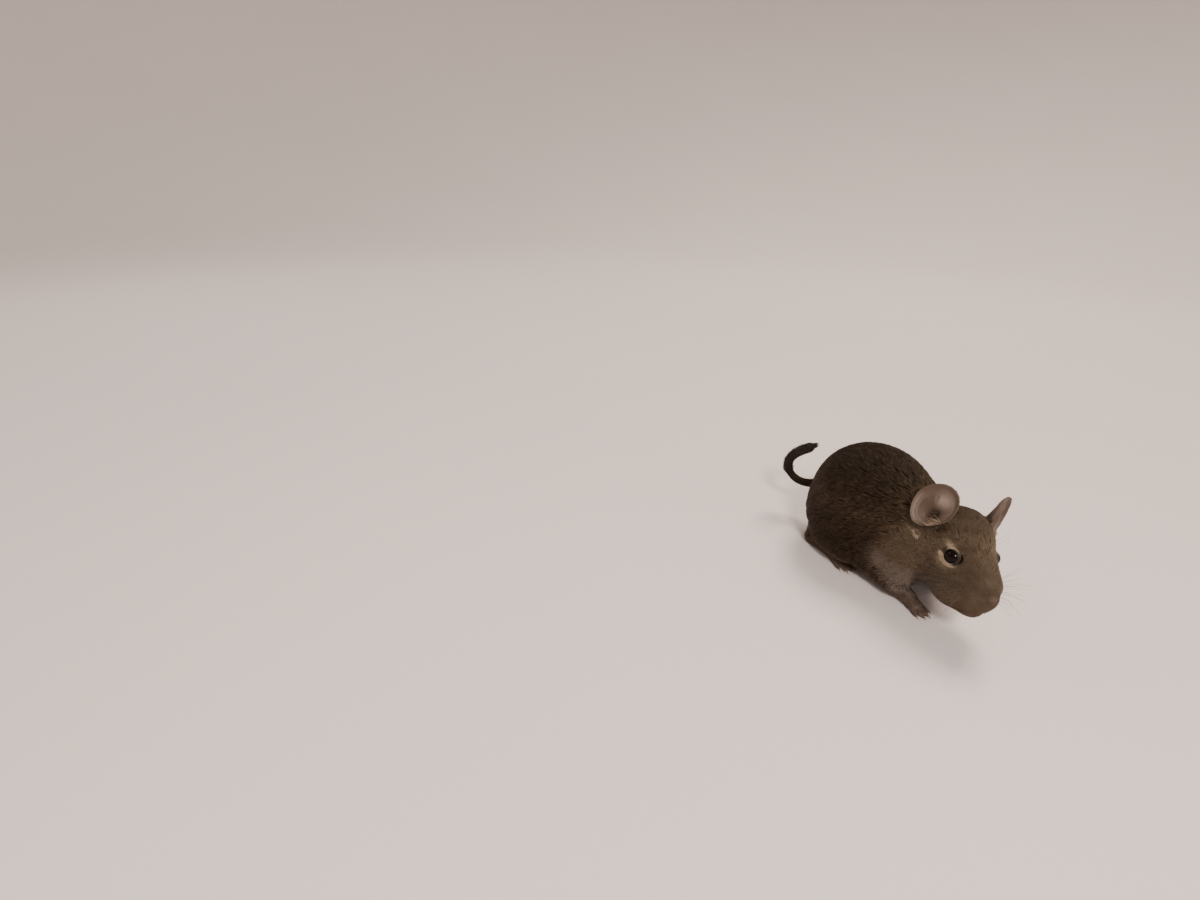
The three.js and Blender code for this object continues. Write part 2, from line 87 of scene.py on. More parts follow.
# Sizes in millimetres of what the scene adds
SKIN_CELL = 0.45
SOLIDS_GROWTH = 0.22
EYE_SINK = 0.8
LID_OPENING = 3.75
LID_MARGIN = 0.34
LIP_DEPTH = 0.7
PIT_IN, PIT_DOWN, PIT_DEPTH, PIT_RADIUS = 3.6, 5.0, 3.4, 2.3
BODY_COAT_DEPTH, LEG_COAT_DEPTH, HEAD_COAT_DEPTH, TAIL_COAT_DEPTH = 3.0, 1.8, 1.4, 0.15
BODY_HAIR, HEAD_HAIR, EAR_HAIR, PAW_HAIR, TAIL_HAIR = 7.4, 5.0, 1.25, 1.9, 2.6
BODY_SPACING, HEAD_SPACING, EAR_SPACING, PAW_SPACING, TAIL_SPACING = 0.78, 0.5, 0.52, 0.5, 0.42
# The coat's pieces along the body and along the head: a name, and from where to where it goes.
BODY_BANDS = (("neck", -99, -16), ("ribs", -16, 6), ("flank", 6, 26), ("haunch", 26, 99))
HEAD_BANDS = (("crown", -14, 99), ("cheek", -27, -14), ("muzzle", -99, -27))
PAW_HAIR_WAY = (0.0, -1.0, -0.25)
WHISKER_LENGTH = 27
BRISTLE_LENGTH = 4.5
# A bristle's tip lies one point further along the tail for each such step of its length.
POINT_STEP = 0.45

# Widths in millimetres of the patterns. The skin's grain is finer in life and drawn this coarse to show.
DOWN_MOTTLE = 3.85
SKIN_GRAIN = 0.357
LID_GRAIN = 0.667
IRIS_CLOUD = 2.38
HORN_STREAK = 1.11
FLOOR_CLOUD = 333

# Counts, and half the width of a hair's patch in the bake map
FRINGE_HAIRS, LOCK_HAIRS, BRISTLES = 30, 70, 2200
TAIL_POINTS = 121
TUFT_POINTS, TUFT_TRIANGLES, COAT_PIECE_LIMIT = 7, 10, 200000
PATCH = 0.0015
# How many roots are tried for each that there is room for.
ROOTS_TRIED = 4.5
# How the hairs' darkness is spread: most keep the coat's tone and a few are much darker.
DARK_HAIRS = (1.6, 3.2)
# A direction that no tube follows, from which the points round a tube are counted.
ASIDE = (0.31, 0.2, 0.93)

# The photograph's camera: its place in millimetres, its directions, and its focal length in pixels
CAMERA_PLACE = (-309.19, -164.4 + SHIFT[1], 230)
CAMERA_RIGHT = (0.8763, -0.4806, 0.0341)
CAMERA_UP = (0.1956, 0.4195, 0.8865)
CAMERA_AHEAD = (0.4403, 0.7701, -0.4616)
FOCAL_PIXELS, FRAME_PIXELS = 545, 1200
SENSOR_WIDTH = 36


# Points and directions

def unit(vectors):
    """Vectors, one or many, at length 1."""
    vectors = np.asarray(vectors, float)
    return vectors / (np.linalg.norm(vectors, axis=-1, keepdims=True) + 1e-12)


def smooth(low, high, value):
    """0 at low, 1 at high, with a soft change between them. Low may be the larger of the two."""
    t = np.clip((np.asarray(value, float) - low) / (high - low), 0, 1)
    return t * t * (3 - 2 * t)


def bell(distance, width):
    """1 where the distance is 0, falling off softly on both sides."""
    return np.exp(-((distance / width) ** 2))


def node_middle(name):
    """The middle of a solid's box, in millimetres."""
    low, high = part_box(name)
    return np.array((low + high) / 2) / MM


def turn_of_head():
    """The head's own axes as columns: its left, its back and its up."""
    pitch, roll, yaw = (math.radians(a) for a in (HEAD_PITCH, HEAD_ROLL, HEAD_YAW))
    yawed = Matrix.Rotation(yaw, 3, "Z") @ Matrix.Rotation(pitch, 3, "X")
    return np.array(yawed @ Matrix.Rotation(roll, 3, "Y"))


HEAD_TURN = turn_of_head()
SOLID_EYES = {side: node_middle("eye_" + side) for side in SIDES}
BETWEEN_EYES = (SOLID_EYES["left"] + SOLID_EYES["right"]) / 2
HEAD_PLACE = BETWEEN_EYES - HEAD_TURN @ (np.array([0, EYE_ON_HEAD[1], EYE_ON_HEAD[2]]) * HEAD_SCALE)


def on_head(point):
    """A point, or several, of the head's own frame in the model's frame."""
    return HEAD_PLACE + (np.asarray(point, float) * HEAD_SCALE) @ HEAD_TURN.T


def along_head(direction):
    """A direction of the head's own frame in the model's frame."""
    return unit(np.asarray(direction, float) @ HEAD_TURN.T)


def in_head(points):
    """Points of the model in the head's own frame."""
    return (points - HEAD_PLACE) @ HEAD_TURN / HEAD_SCALE


def ear_axes(side):
    """The directions across an ear's opening, up it and out of it."""
    opening = along_head(EARS[side]["open"])
    up = along_head(EARS[side]["up"])
    up = unit(up - opening * (up @ opening))
    return np.cross(up, opening) * SIDES[side], up, opening


def curve_points(corners, count):
    """Points along a smooth curve through a few corners, evenly spaced."""
    corners = np.asarray(corners, float)
    padded = np.concatenate([2 * corners[:1] - corners[1:2], corners, 2 * corners[-1:] - corners[-2:-1]])
    fine = []
    for p0, p1, p2, p3 in zip(padded, padded[1:], padded[2:], padded[3:]):
        bend = 2 * p0 - 5 * p1 + 4 * p2 - p3
        twist = 3 * p1 - p0 - 3 * p2 + p3
        for t in np.linspace(0, 1, 24, endpoint=False):
            fine.append(0.5 * (2 * p1 + (p2 - p0) * t + bend * t ** 2 + twist * t ** 3))
    fine = np.array(fine + [corners[-1]])
    run = np.concatenate([[0], np.cumsum(np.linalg.norm(np.diff(fine, axis=0), axis=1))])
    even = np.linspace(0, run[-1], count)
    return np.stack([np.interp(even, run, fine[:, axis]) for axis in range(3)], axis=1)


def gap_to(path, points):
    """The distance of each point to a path of points."""
    nearest = np.full(len(points), np.inf)
    for spot in path:
        nearest = np.minimum(nearest, np.linalg.norm(points - spot, axis=1))
    return nearest


def tail_line():
    """Points along the middle of the tail from its root to its end, and its direction at each."""
    line = curve_points([ROOT_OF_TAIL + SHIFT + np.array(step) for step in TAIL_STEPS], TAIL_POINTS)
    return line, unit(np.gradient(line, axis=0))


# Meshes

def mesh_piece(name, points, faces, material, slot, uv=None, marks=None):
    """A smooth-shaded piece on the body. Points are in millimetres, and all faces have as many corners."""
    mesh = bpy.data.meshes.new(name)
    points = np.asarray(points, float)
    faces = np.asarray(faces, np.int32)
    mesh.vertices.add(len(points))
    mesh.vertices.foreach_set("co", (points * MM).astype(np.float32).ravel())
    mesh.loops.add(faces.size)
    mesh.loops.foreach_set("vertex_index", faces.ravel())
    mesh.polygons.add(len(faces))
    mesh.polygons.foreach_set("loop_start", np.arange(0, faces.size, faces.shape[1], dtype=np.int32))
    mesh.update(calc_edges=True)
    mesh.polygons.foreach_set("use_smooth", np.ones(len(faces), bool))
    if uv is not None:
        layer = mesh.uv_layers.new(name="OFBake")
        layer.data.foreach_set("uv", np.asarray(uv, np.float32)[faces.ravel()].ravel())
    for key, values in (marks or {}).items():
        attribute = mesh.attributes.new(key, "FLOAT", "POINT")
        attribute.data.foreach_set("value", np.asarray(values, np.float32))
    mesh.materials.append(material)
    piece = bpy.data.objects.new(name, mesh)
    bpy.context.scene.collection.objects.link(piece)
    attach(piece, "root")
    return piece


def mesh_points(mesh):
    """The points of a mesh, in millimetres."""
    points = np.zeros(len(mesh.vertices) * 3, np.float32)
    mesh.vertices.foreach_get("co", points)
    return points.reshape(-1, 3).astype(float) / MM


def welded(points, triangles):
    """The same mesh with one point wherever several coincide."""
    _, first, where = np.unique(np.round(points, 3), axis=0, return_index=True, return_inverse=True)
    triangles = where.reshape(-1)[triangles]
    a, b, c = triangles.T
    return points[first], triangles[(a != b) & (b != c) & (a != c)]


def summed(at, values, count):
    """For each of a count of points, the sum of the values that belong to it."""
    return np.stack([np.bincount(at, values[:, axis], count) for axis in range(3)], axis=1)


def point_normals(points, faces):
    """The normal at each point, from the faces round it."""
    corner, after, opposite = points[faces[:, 0]], points[faces[:, 1]], points[faces[:, 2]]
    across = np.cross(after - corner, opposite - corner)
    return unit(sum(summed(column, across, len(points)) for column in faces.T))


def soften(points, faces, weight, rounds):
    """Draws each point towards the middle of its neighbours, by a weight of its own."""
    corners = faces.shape[1]
    edges = np.concatenate([faces[:, [c, (c + 1) % corners]] for c in range(corners)])
    count = np.bincount(edges[:, 0], minlength=len(points)) + 1e-9
    for _ in range(rounds):
        mean = summed(edges[:, 0], points[edges[:, 1]], len(points)) / count[:, None]
        points = points + (mean - points) * weight[:, None]
    return points


def tube_mesh(path, radii, sides=8):
    """Points and triangles of a closed round tube along a path."""
    path = np.asarray(path, float)
    along = unit(np.gradient(path, axis=0))
    across = unit(np.cross(along, ASIDE))
    for n in range(1, len(path)):
        across[n] = unit(across[n - 1] - along[n] * np.dot(across[n - 1], along[n]))
    over = np.cross(along, across)
    angle = (np.arange(sides) / sides * 2 * math.pi)[None, :, None]
    circles = across[:, None] * np.cos(angle) + over[:, None] * np.sin(angle)
    rings = path[:, None] + np.asarray(radii, float)[:, None, None] * circles
    points = np.concatenate([rings.reshape(-1, 3), path[:1], path[-1:]])
    triangles = []
    for n in range(len(path) - 1):
        for s in range(sides):
            a, b = n * sides + s, n * sides + (s + 1) % sides
            triangles += [(a, b, b + sides), (a, b + sides, a + sides)]
    last = len(path) * sides
    for s in range(sides):
        after = (s + 1) % sides
        triangles += [(last, after, s), (last + 1, last - sides + s, last - sides + after)]
    return points, np.array(triangles)


def joined(parts):
    """One list of points and one of triangles from several."""
    points, triangles, start = [], [], 0
    for part_points, part_triangles in parts:
        points.append(part_points)
        triangles.append(part_triangles + start)
        start += len(part_points)
    return np.concatenate(points), np.concatenate(triangles)


def three_round(middle, aside, out, half, thick):
    """Three points round the middle line of each hair: one on either side of it and one over it."""
    return [middle - aside * half, middle + aside * half, middle + out * thick]


def hair_faces(rings, count):
    """The triangles of many closed hairs, each with some rings of three points and a tip."""
    edges = ((0, 1), (1, 2), (2, 0))
    tip = 3 * rings
    faces = [(0, 2, 1)]
    for r in range(0, tip - 3, 3):
        for a, b in edges:
            faces += [(r + a, r + b, r + 3 + b), (r + a, r + 3 + b, r + 3 + a)]
    faces += [(tip - 3 + a, tip - 3 + b, tip) for a, b in edges]
    starts = (tip + 1) * np.arange(count)
    return (np.array(faces)[None] + starts[:, None, None]).reshape(-1, 3)


def hair_patches(spots, levels):
    """A small patch of the bake map for each hair: its three sides at each level, then its tip."""
    corners = [(side, level + rise) for level in levels for side, rise in ((-1, 0), (1, 0), (0, 0.1))]
    corners = np.array(corners + [(0, 1)]) * PATCH
    return (spots[:, None] + corners[None]).reshape(-1, 2)


# Materials

# A Mix node's sockets for colours: the share, the first and the second colour, and the result
MIX_SHARE, MIX_FIRST, MIX_SECOND, MIX_RESULT = 0, 6, 7, 2


def colour(code):
    """A linear colour with alpha from an sRGB hex code."""
    parts = [int(code[n:n + 2], 16) / 255 for n in (1, 3, 5)]
    return tuple(c / 12.92 if c <= 0.04045 else ((c + 0.055) / 1.055) ** 2.4 for c in parts) + (1.0,)


def add_node(material, kind, inputs=None, **settings):
    """Adds one shader node. Each input gets a number, a colour from its hex code, or a link from a socket."""
    node = material.node_tree.nodes.new(kind)
    for key, value in settings.items():
        setattr(node, key, value)
    for socket, value in (inputs or {}).items():
        if isinstance(value, bpy.types.NodeSocket):
            material.node_tree.links.new(value, node.inputs[socket])
        elif isinstance(value, str):
            node.inputs[socket].default_value = colour(value)
        else:
            node.inputs[socket].default_value = value
    return node


def new_material(name):
    """A material with an empty tree."""
    material = bpy.data.materials.new(name)
    material.use_nodes = True
    material.node_tree.nodes.clear()
    return material


def surfaced(material, inputs):
    """The material, finished with its shader and its output."""
    shader = add_node(material, "ShaderNodeBsdfPrincipled", inputs)
    add_node(material, "ShaderNodeOutputMaterial", {"Surface": shader.outputs["BSDF"]})
    return material


def marked(material, base, marks):
    """A base colour with others over it, each as strong as the mark of its name on the mesh's points."""
    for name, code in marks:
        share = add_node(material, "ShaderNodeAttribute", attribute_name=name)
        inputs = {MIX_SHARE: share.outputs["Fac"], MIX_FIRST: base, MIX_SECOND: code}
        base = add_node(material, "ShaderNodeMix", inputs, data_type="RGBA").outputs[MIX_RESULT]
    return base


def clouded(material, size, first, second):
    """A colour that wanders between two in soft patches of a size in millimetres."""
    place = add_node(material, "ShaderNodeTexCoord").outputs["Object"]
    inputs = {"Vector": place, "Scale": 1 / (size * MM), "Detail": 2.0}
    cloud = add_node(material, "ShaderNodeTexNoise", inputs)
    inputs = {MIX_SHARE: cloud.outputs["Fac"], MIX_FIRST: first, MIX_SECOND: second}
    return add_node(material, "ShaderNodeMix", inputs, data_type="RGBA").outputs[MIX_RESULT]


# The lighter face, the pale belly, throat and eye rings, the dark back and tail with painted shade on the
# lower flanks and cheeks, in the mouth's lines and round the eyes, and the bare grey skin
MARKINGS = [
    ("face", "#6e5f4f"), ("belly", "#93806a"), ("throat", "#7c7169"),
    ("ring", "#b8a48b"), ("dark", "#1a110b"), ("bare", "#5a4b41"),
]


def agouti_coat():
    """Degu hair: each hair dark grey at its root, ochre near its end and black at its tip, which gives the
    eye a warm brown with a fine fleck. Hair is keratin, with a soft dull sheen and never a gloss."""
    material = new_material("agouti_hair")
    along = add_node(material, "ShaderNodeAttribute", attribute_name="along")
    band = add_node(material, "ShaderNodeValToRGB", {"Fac": along.outputs["Fac"]})
    root, tip = band.color_ramp.elements
    root.color = colour("#1f1610")
    tip.color = colour("#2c2016")
    for position, code in ((0.35, "#372a1f"), (0.72, "#5f4e3b")):
        band.color_ramp.elements.new(position).color = colour(code)
    painted = marked(material, band.outputs["Color"], [("tone", "#20160f"), *MARKINGS])
    return surfaced(material, {
        "Base Color": painted, "Roughness": 0.66, "IOR": 1.45, "Specular IOR Level": 0.16,
    })


def undercoat_and_skin():
    """Skin under the coat: dense soft down, darker than the coat's ends, partly as the down's own dark grey
    and partly as painted shade, so that partings between tufts read as depth. On ears, nose and feet it is
    bare skin, finely grained, with the dull sheen of thin leather."""
    material = new_material("undercoat_and_skin")
    down = clouded(material, DOWN_MOTTLE, "#261b13", "#3a2b1e")
    # Over the down: painted light inside the ears, and painted shade in their canals.
    painted = marked(material, down, [*MARKINGS, ("painted_ear_light", "#94857b"), ("canal", "#1d120c")])
    place = add_node(material, "ShaderNodeTexCoord").outputs["Object"]
    inputs = {"Vector": place, "Scale": 1 / (SKIN_GRAIN * MM), "Detail": 3.0, "Roughness": 0.6}
    grain = add_node(material, "ShaderNodeTexNoise", inputs)
    inputs = {"Height": grain.outputs["Fac"], "Strength": 0.35, "Distance": 0.2 * MM}
    bump = add_node(material, "ShaderNodeBump", inputs)
    return surfaced(material, {
        "Base Color": painted, "Roughness": 0.58, "IOR": 1.42, "Specular IOR Level": 0.35,
        "Normal": bump.outputs["Normal"],
    })


def wet_eye():
    """The eye: a dark brown iris that fills it, under a clear wet cornea, so it is nearly black with sharp
    highlights."""
    material = new_material("wet_eye")
    iris = clouded(material, IRIS_CLOUD, "#060302", "#140a06")
    return surfaced(material, {
        "Base Color": iris, "Roughness": 0.03, "IOR": 1.34, "Specular IOR Level": 0.24,
    })


def horn_claw():
    """Claw: smooth brown horn, a little translucent in life, with a soft polish from wear."""
    material = new_material("horn_claw")
    horn = clouded(material, HORN_STREAK, "#4a3a30", "#8a7462")
    return surfaced(material, {"Base Color": horn, "Roughness": 0.32, "IOR": 1.54, "Specular IOR Level": 0.5})


def lid_skin():
    """The lid's margin: bare black skin, damp, so it is darker than what is round it and slightly shiny."""
    material = new_material("lid_margin")
    margin = clouded(material, LID_GRAIN, "#14100e", "#2e2521")
    return surfaced(material, {"Base Color": margin, "Roughness": 0.36, "IOR": 1.4})


def stiff_bristle(name, root, tip):
    """Bristle and whisker: thick stiff hair, keratin, smoother than the coat, with a faint shine along it."""
    material = new_material(name)
    hair = marked(material, root, [("along", tip)])
    return surfaced(material, {"Base Color": hair, "Roughness": 0.45, "IOR": 1.5, "Specular IOR Level": 0.4})


def painted_floor():
    """The floor: matt pale board, painted, without a pattern."""
    material = new_material("pale_floor")
    paint = clouded(material, FLOOR_CLOUD, "#cdc3c1", "#d1c8c6")
    return surfaced(material, {"Base Color": paint, "Roughness": 0.85, "Specular IOR Level": 0.2})


COAT = agouti_coat()
SKIN = undercoat_and_skin()
EYE = wet_eye()
CLAW = horn_claw()
LID = lid_skin()
BRISTLE = stiff_bristle("brush_bristle", "#33251b", "#140d09")
WHISKER = stiff_bristle("whisker", "#2b231e", "#6f665e")


# Where each mark of the coat lies

TAIL_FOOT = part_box("tail")[0][1] / MM
NOSE_TIP = on_head((0, -41.5, -11))
EYE_AXES = {side: along_head((hand * 0.92, -0.28, 0.28)) for side, hand in SIDES.items()}
# The eyes sit a little deeper between their lids than the solids' eyes.
EYES = {side: SOLID_EYES[side] - EYE_AXES[side] * EYE_SINK for side in SIDES}
LIP_CORNERS = [(-11, -28, -26.5), (-8, -36, -26), (0, -41, -24.5), (8, -36, -26), (11, -28, -26.5)]
CLEFT_CORNERS = [(0, -42.8, -13), (0, -42.4, -19), (0, -41, -24.5)]
NOSTRIL_CORNERS = [(2.7, -42.6, -9.4), (2.2, -42.9, -10.6), (1.2, -42.9, -11.2)]
NOTCH_CORNERS = [(20.4, 1.4, -9), (19.3, -1.5, -10.3), (16.9, -3.6, -10.4)]


def head_path(corners, count, hand=1):
    """A path on the head, evenly spaced. A hand of -1 mirrors it to the right."""
    return on_head(curve_points(np.array(corners) * [hand, 1, 1], count))


LIPS = head_path(LIP_CORNERS, 80)
CLEFT = head_path(CLEFT_CORNERS, 24)
NOSTRILS = [head_path(NOSTRIL_CORNERS, 8, hand) for hand in SIDES.values()]
NOTCHES = {side: head_path(NOTCH_CORNERS, 12, hand) for side, hand in SIDES.items()}


def mouth_lines(points):
    """1 on the lips' line, in the cleft under the nose and in the nostrils, falling to 0 beside them."""
    near = np.linalg.norm(points - NOSE_TIP, axis=1) < 26
    close = points[near]
    lips = bell(gap_to(LIPS, close), 0.75)
    cleft = 0.8 * bell(gap_to(CLEFT, close), 0.6)
    nostrils = [bell(gap_to(path, close), 0.8) for path in NOSTRILS]
    share = np.zeros(len(points))
    share[near] = np.max([lips, cleft, *nostrils], axis=0)
    return share


def eye_gap(points):
    """The distance of each point to the nearer eyeball's surface."""
    return np.min([np.linalg.norm(points - EYES[side], axis=1) - EYE_RADIUS for side in SIDES], axis=0)


def tear_corner(points):
    """The dark front corner of each eye, drawn out towards the nose."""
    share = np.zeros(len(points))
    for side, hand in SIDES.items():
        ahead = along_head((0.1 * hand, -0.9, -0.42))
        for reach, size in ((4.3, 1.5), (5.4, 0.9)):
            spot = EYES[side] + ahead * reach + EYE_AXES[side] * 1.5
            share = np.maximum(share, bell(np.linalg.norm(points - spot, axis=1), size))
    return share


def head_share(points):
    """1 on the head, 0 behind the neck."""
    _, back, high = in_head(points).T
    return smooth(9, -3, back) * smooth(-42, -34, high - 0.35 * back)


def mottle(points):
    """Soft blotches some 4 to 9 mm wide, from waves that cross, between -1 and 1."""
    bent = points + 1.3 * np.sin(points[:, [1, 2, 0]] * 0.45 + [0.3, 1.9, 4.1])
    waves = np.sin(bent @ [0.71, 0.42, 0.55])
    waves = waves + np.sin(bent @ [-0.5, 0.8, 0.62] + 2.0)
    waves = waves + np.sin(bent @ [0.9, -0.7, 0.8] + 4.0)
    return waves / 3


def pale_marks(points):
    """The pale patches round each eye and the pale streak in the notch behind and below each ear."""
    ring = np.zeros(len(points))
    for side, hand in SIDES.items():
        from_eye = points - EYES[side]
        away = np.linalg.norm(from_eye, axis=1)
        flat = from_eye @ HEAD_TURN
        around = unit(flat[:, 1:])
        # A soft patch over the eye and a thin clear line below its back corner, nothing in front of it.
        upper = smooth(0.55, 0.95, around @ unit([0.35, 0.93])) * smooth(8.4, 5.6, away) * 0.72
        lower = smooth(0.1, 0.6, around @ unit([-0.1, -1.0])) * smooth(7.0, 5.9, away)
        lower = lower + 0.22 * smooth(0.3, 0.9, around @ unit([-0.3, -0.95])) * smooth(11, 7, away)
        ring += np.maximum(upper, lower) * smooth(-1, 2, flat[:, 0] * hand)
        ring += 0.95 * bell(gap_to(NOTCHES[side], points), 1.15)
    return np.clip(ring, 0, 0.9)


def coat_marks(points, normals):
    """How strong each mark is at each point, from 0 to 1."""
    x, y, z = points.T
    lean = normals[:, 2]
    local = in_head(points)
    _, back, high = local.T
    head = head_share(points)
    belly = smooth(-0.15, -0.75, lean) * smooth(26, 8, z) * (1 - head)
    chest = smooth(0.25, -0.45, lean) * smooth(-27, -35, y) * smooth(42, 27, z)
    forearm = smooth(-22, -32, y) * smooth(34, 22, z) * smooth(7, 11, z)
    throat = np.maximum(chest, 0.7 * forearm)
    jaw = smooth(-27, -31, high) * 0.6
    crown = smooth(0, 7, high) * smooth(-34, -20, back)
    # Painted shade on the lower cheek, above the throat.
    cheek = bell(np.linalg.norm((local - [0, -18, -20]) / [99, 9, 6], axis=1), 1)
    saddle = smooth(40, 66, z) * smooth(-30, -8, y) * smooth(46, 30, y)
    # Painted shade low on the flanks.
    flanks = smooth(60, 30, z) * smooth(-26, -10, y) * smooth(10, 22, z)
    tail = smooth(TAIL_FOOT, TAIL_FOOT + 4, y) * (np.hypot(x - 1, z - 30) < 16)
    ring = pale_marks(points)
    # Painted shade on the skin close round each eye, and the eye's dark front corner.
    lids = 0.6 * smooth(1.5, 0.7, eye_gap(points)) * (1 - ring) + tear_corner(points)
    dark = np.maximum(0.58 * saddle, 0.55 * flanks) * (1 - head) + (0.14 * crown + 0.2 * cheek) * head
    # The tail's own dark, and painted shade in the lips' line, the cleft and the nostrils.
    dark = dark + 0.55 * tail + 0.85 * mouth_lines(points) + lids
    return {
        "face": np.clip((0.62 - 0.38 * crown + 0.24 * mottle(points)) * head, 0, 1),
        "ring": ring,
        "belly": 0.6 * np.clip(belly, 0, 1),
        "throat": np.clip(0.8 * throat * (1 - head) + jaw * head, 0, 0.8),
        "dark": np.clip(dark, 0, 1),
    }


# The skin

PAIRED_FLESH = ("ear", "foreleg", "forepaw", "hindleg", "hindfoot")
FLESH = ["torso", "neck", "head"]
FLESH += [f"{part}_{side}" for part in PAIRED_FLESH for side in reversed(SIDES)]
FLESH += ["tail"]


def toes():
    """Each toe's name, root and heading on the floor's plan, length, radius and claw's length."""
    for side, hand in SIDES.items():
        x, y = np.array(WRIST_PLACES[side]) + SHIFT[:2]
        for n, length in enumerate(FORE_TOES):
            heading = (n - 1.5) * 0.24 * hand + hand * 0.08
            root = (x + hand * (0.7 + (n - 1.5) * FORE_TOE_GAP), y - PALM_LENGTH + abs(n - 1.4) * 0.9)
            yield f"fore_{side}_{n}", root, heading, length, TOE_RADIUS, FORE_CLAW
        root = (x - hand * 2.6, y - 4)
        yield f"thumb_{side}", root, -hand * 0.9, THUMB_LENGTH, THUMB_RADIUS, THUMB_CLAW
        x, y = np.array(HEEL_PLACES[side]) + SHIFT[:2]
        for n, length in enumerate(HIND_TOES):
            heading = (n - 2) * 0.17 * hand + hand * 0.06
            root = (x + hand * 2 + hand * (n - 2) * HIND_TOE_GAP, y - SOLE_LENGTH + abs(n - 2) * 1.3)
            yield f"hind_{side}_{n}", root, heading, length, TOE_RADIUS, HIND_CLAW


def short_toes(points):
    """Draws the skin back from each claw, so that the toe ends in a round tip behind its own claw."""
    moved = points.copy()
    for _, root, heading, length, radius, claw in toes():
        ahead = np.array([math.sin(heading), -math.cos(heading)])
        aside = np.array([ahead[1], -ahead[0]])
        flat = moved[:, :2] - root
        along, off = flat @ ahead, flat @ aside
        end = length + radius * 0.45
        on_toe = (np.abs(off) < radius * 1.1) & (moved[:, 2] < 4)
        past = (along > end) & (along < length + claw + 1.5) & on_toe
        moved[past, :2] -= ahead * ((along[past] - end) * 0.9)[:, None]
    return moved


def grown_node(name):
    """A solid's mesh, grown by a little so that it meets its neighbours."""
    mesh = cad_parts[name].data
    mesh.calc_loop_triangles()
    triangles = np.zeros(len(mesh.loop_triangles) * 3, np.int32)
    mesh.loop_triangles.foreach_get("vertices", triangles)
    points, triangles = welded(mesh_points(mesh), triangles.reshape(-1, 3))
    return points + point_normals(points, triangles) * SOLIDS_GROWTH, triangles


def one_skin():
    """All of the flesh as one closed mesh with even four-sided cells."""
    points, triangles = joined([grown_node(name) for name in FLESH])
    rough = mesh_piece("rough_skin", points, triangles, SKIN, "coat")
    remesh = rough.modifiers.new("even_cells", "REMESH")
    remesh.mode = "VOXEL"
    remesh.voxel_size = SKIN_CELL * MM
    seen = rough.evaluated_get(bpy.context.evaluated_depsgraph_get())
    even = bpy.data.meshes.new_from_object(seen)
    corners = np.zeros(len(even.loops), np.int32)
    even.loops.foreach_get("vertex_index", corners)
    points = mesh_points(even)
    bpy.data.objects.remove(rough)
    return points, corners.reshape(-1, 4)


def in_ear(points, side):
    """Where points lie in an ear: across its opening, up it, out of the cup, and how far to the rim at 1."""
    out, up, opening = ear_axes(side)
    from_middle = points - on_head(EARS[side]["middle"])
    across, high = from_middle @ out, from_middle @ up
    narrow = 1 - 0.18 * np.clip(-high / (EAR_HEIGHT / 2), 0, 1)
    reach = np.full(len(points), 0.5)
    for _ in range(8):
        to_canal = np.clip(1 - reach, 0, 1) ** 1.3
        share_across = (across + CANAL_IN * to_canal) / (EAR_WIDTH / 2 * narrow)
        share_up = (high + CANAL_DOWN * to_canal) / (EAR_HEIGHT / 2)
        reach = np.hypot(share_across, share_up)
    to_canal = np.clip(1 - reach, 0, 1) ** 1.3
    cup = -EAR_DEPTH * ((1 - np.clip(reach, 0, 1) ** 2) + to_canal ** 2) / 2
    return across, high, from_middle @ opening - cup, reach


def pit_gap(across, high):
    """The distance in an ear to the middle of the canal's opening, which is longer up than across."""
    return np.hypot(across + PIT_IN, (high + PIT_DOWN) * 0.75)


def ear_share(points):
    """1 on the cups of the ears, which stand clear of the head, and 0 elsewhere."""
    off_head = np.linalg.norm((in_head(points) - [0, -5.3, -5.6]) / [13.3, 17.1, 15.2], axis=1)
    share = np.zeros(len(points))
    for side in SIDES:
        _, _, out_of_cup, reach = in_ear(points, side)
        on_cup = smooth(1.16, 1.08, reach) * smooth(-2.6, -1.7, out_of_cup) * smooth(1.6, 1.0, out_of_cup)
        share = np.maximum(share, on_cup * smooth(1.0, 1.12, off_head))
    return share


def shape_ears(points, share):
    """The forms inside each ear: a rolled rim, a shallow groove in it, soft folds and the canal's opening."""
    moved = points.copy()
    for side in SIDES:
        across, high, out_of_cup, reach = in_ear(points, side)
        here = share * smooth(3.2, 2.4, np.abs(out_of_cup)) * smooth(1.2, 1.1, reach)
        inner = smooth(-0.9, -0.2, out_of_cup)
        angle = np.arctan2(high + CANAL_DOWN, across + CANAL_IN)
        rim = 0.55 * bell(reach - 0.98, 0.05)
        groove = -0.45 * bell(reach - 0.84, 0.07)
        ridge = bell(angle - 1.15, 0.2) + 0.7 * bell(angle - 2.3, 0.2)
        folds = ridge * bell(reach - 0.5, 0.32)
        folds = folds + 0.8 * bell(reach - 0.66, 0.07) * smooth(6, -3, high) * smooth(-3, 2, across) * inner
        pit = -PIT_DEPTH * bell(pit_gap(across, high), PIT_RADIUS) * inner
        lobe = np.hypot(across + CANAL_IN + 3.4, high + CANAL_DOWN + 1.0)
        flap = 1.3 * bell(lobe, 1.7) * inner
        moved += ((rim * inner + groove + folds + pit + flap) * here)[:, None] * ear_axes(side)[2]
    return moved


def coat_depth(points):
    """How deep the coat is over the skin at each point."""
    _, y, z = points.T
    head = head_share(points)
    on_face = HEAD_COAT_DEPTH * (1 - 0.65 * smooth(-16, -38, in_head(points)[:, 1]))
    low = smooth(17, 8, z)
    on_body = BODY_COAT_DEPTH * (1 - low) + LEG_COAT_DEPTH * low
    depth = (on_body * (1 - head) + on_face * head) * smooth(4.5, 11, z)
    depth = np.where(z < 12, depth * np.maximum(smooth(-33, -29, y), smooth(9, 12, z)), depth)
    depth = depth * smooth(0.2, 3.0, eye_gap(points)) * (1 - ear_share(points))
    on_tail = smooth(TAIL_FOOT + 1, TAIL_FOOT + 4, y)
    return depth * (1 - on_tail) + TAIL_COAT_DEPTH * on_tail


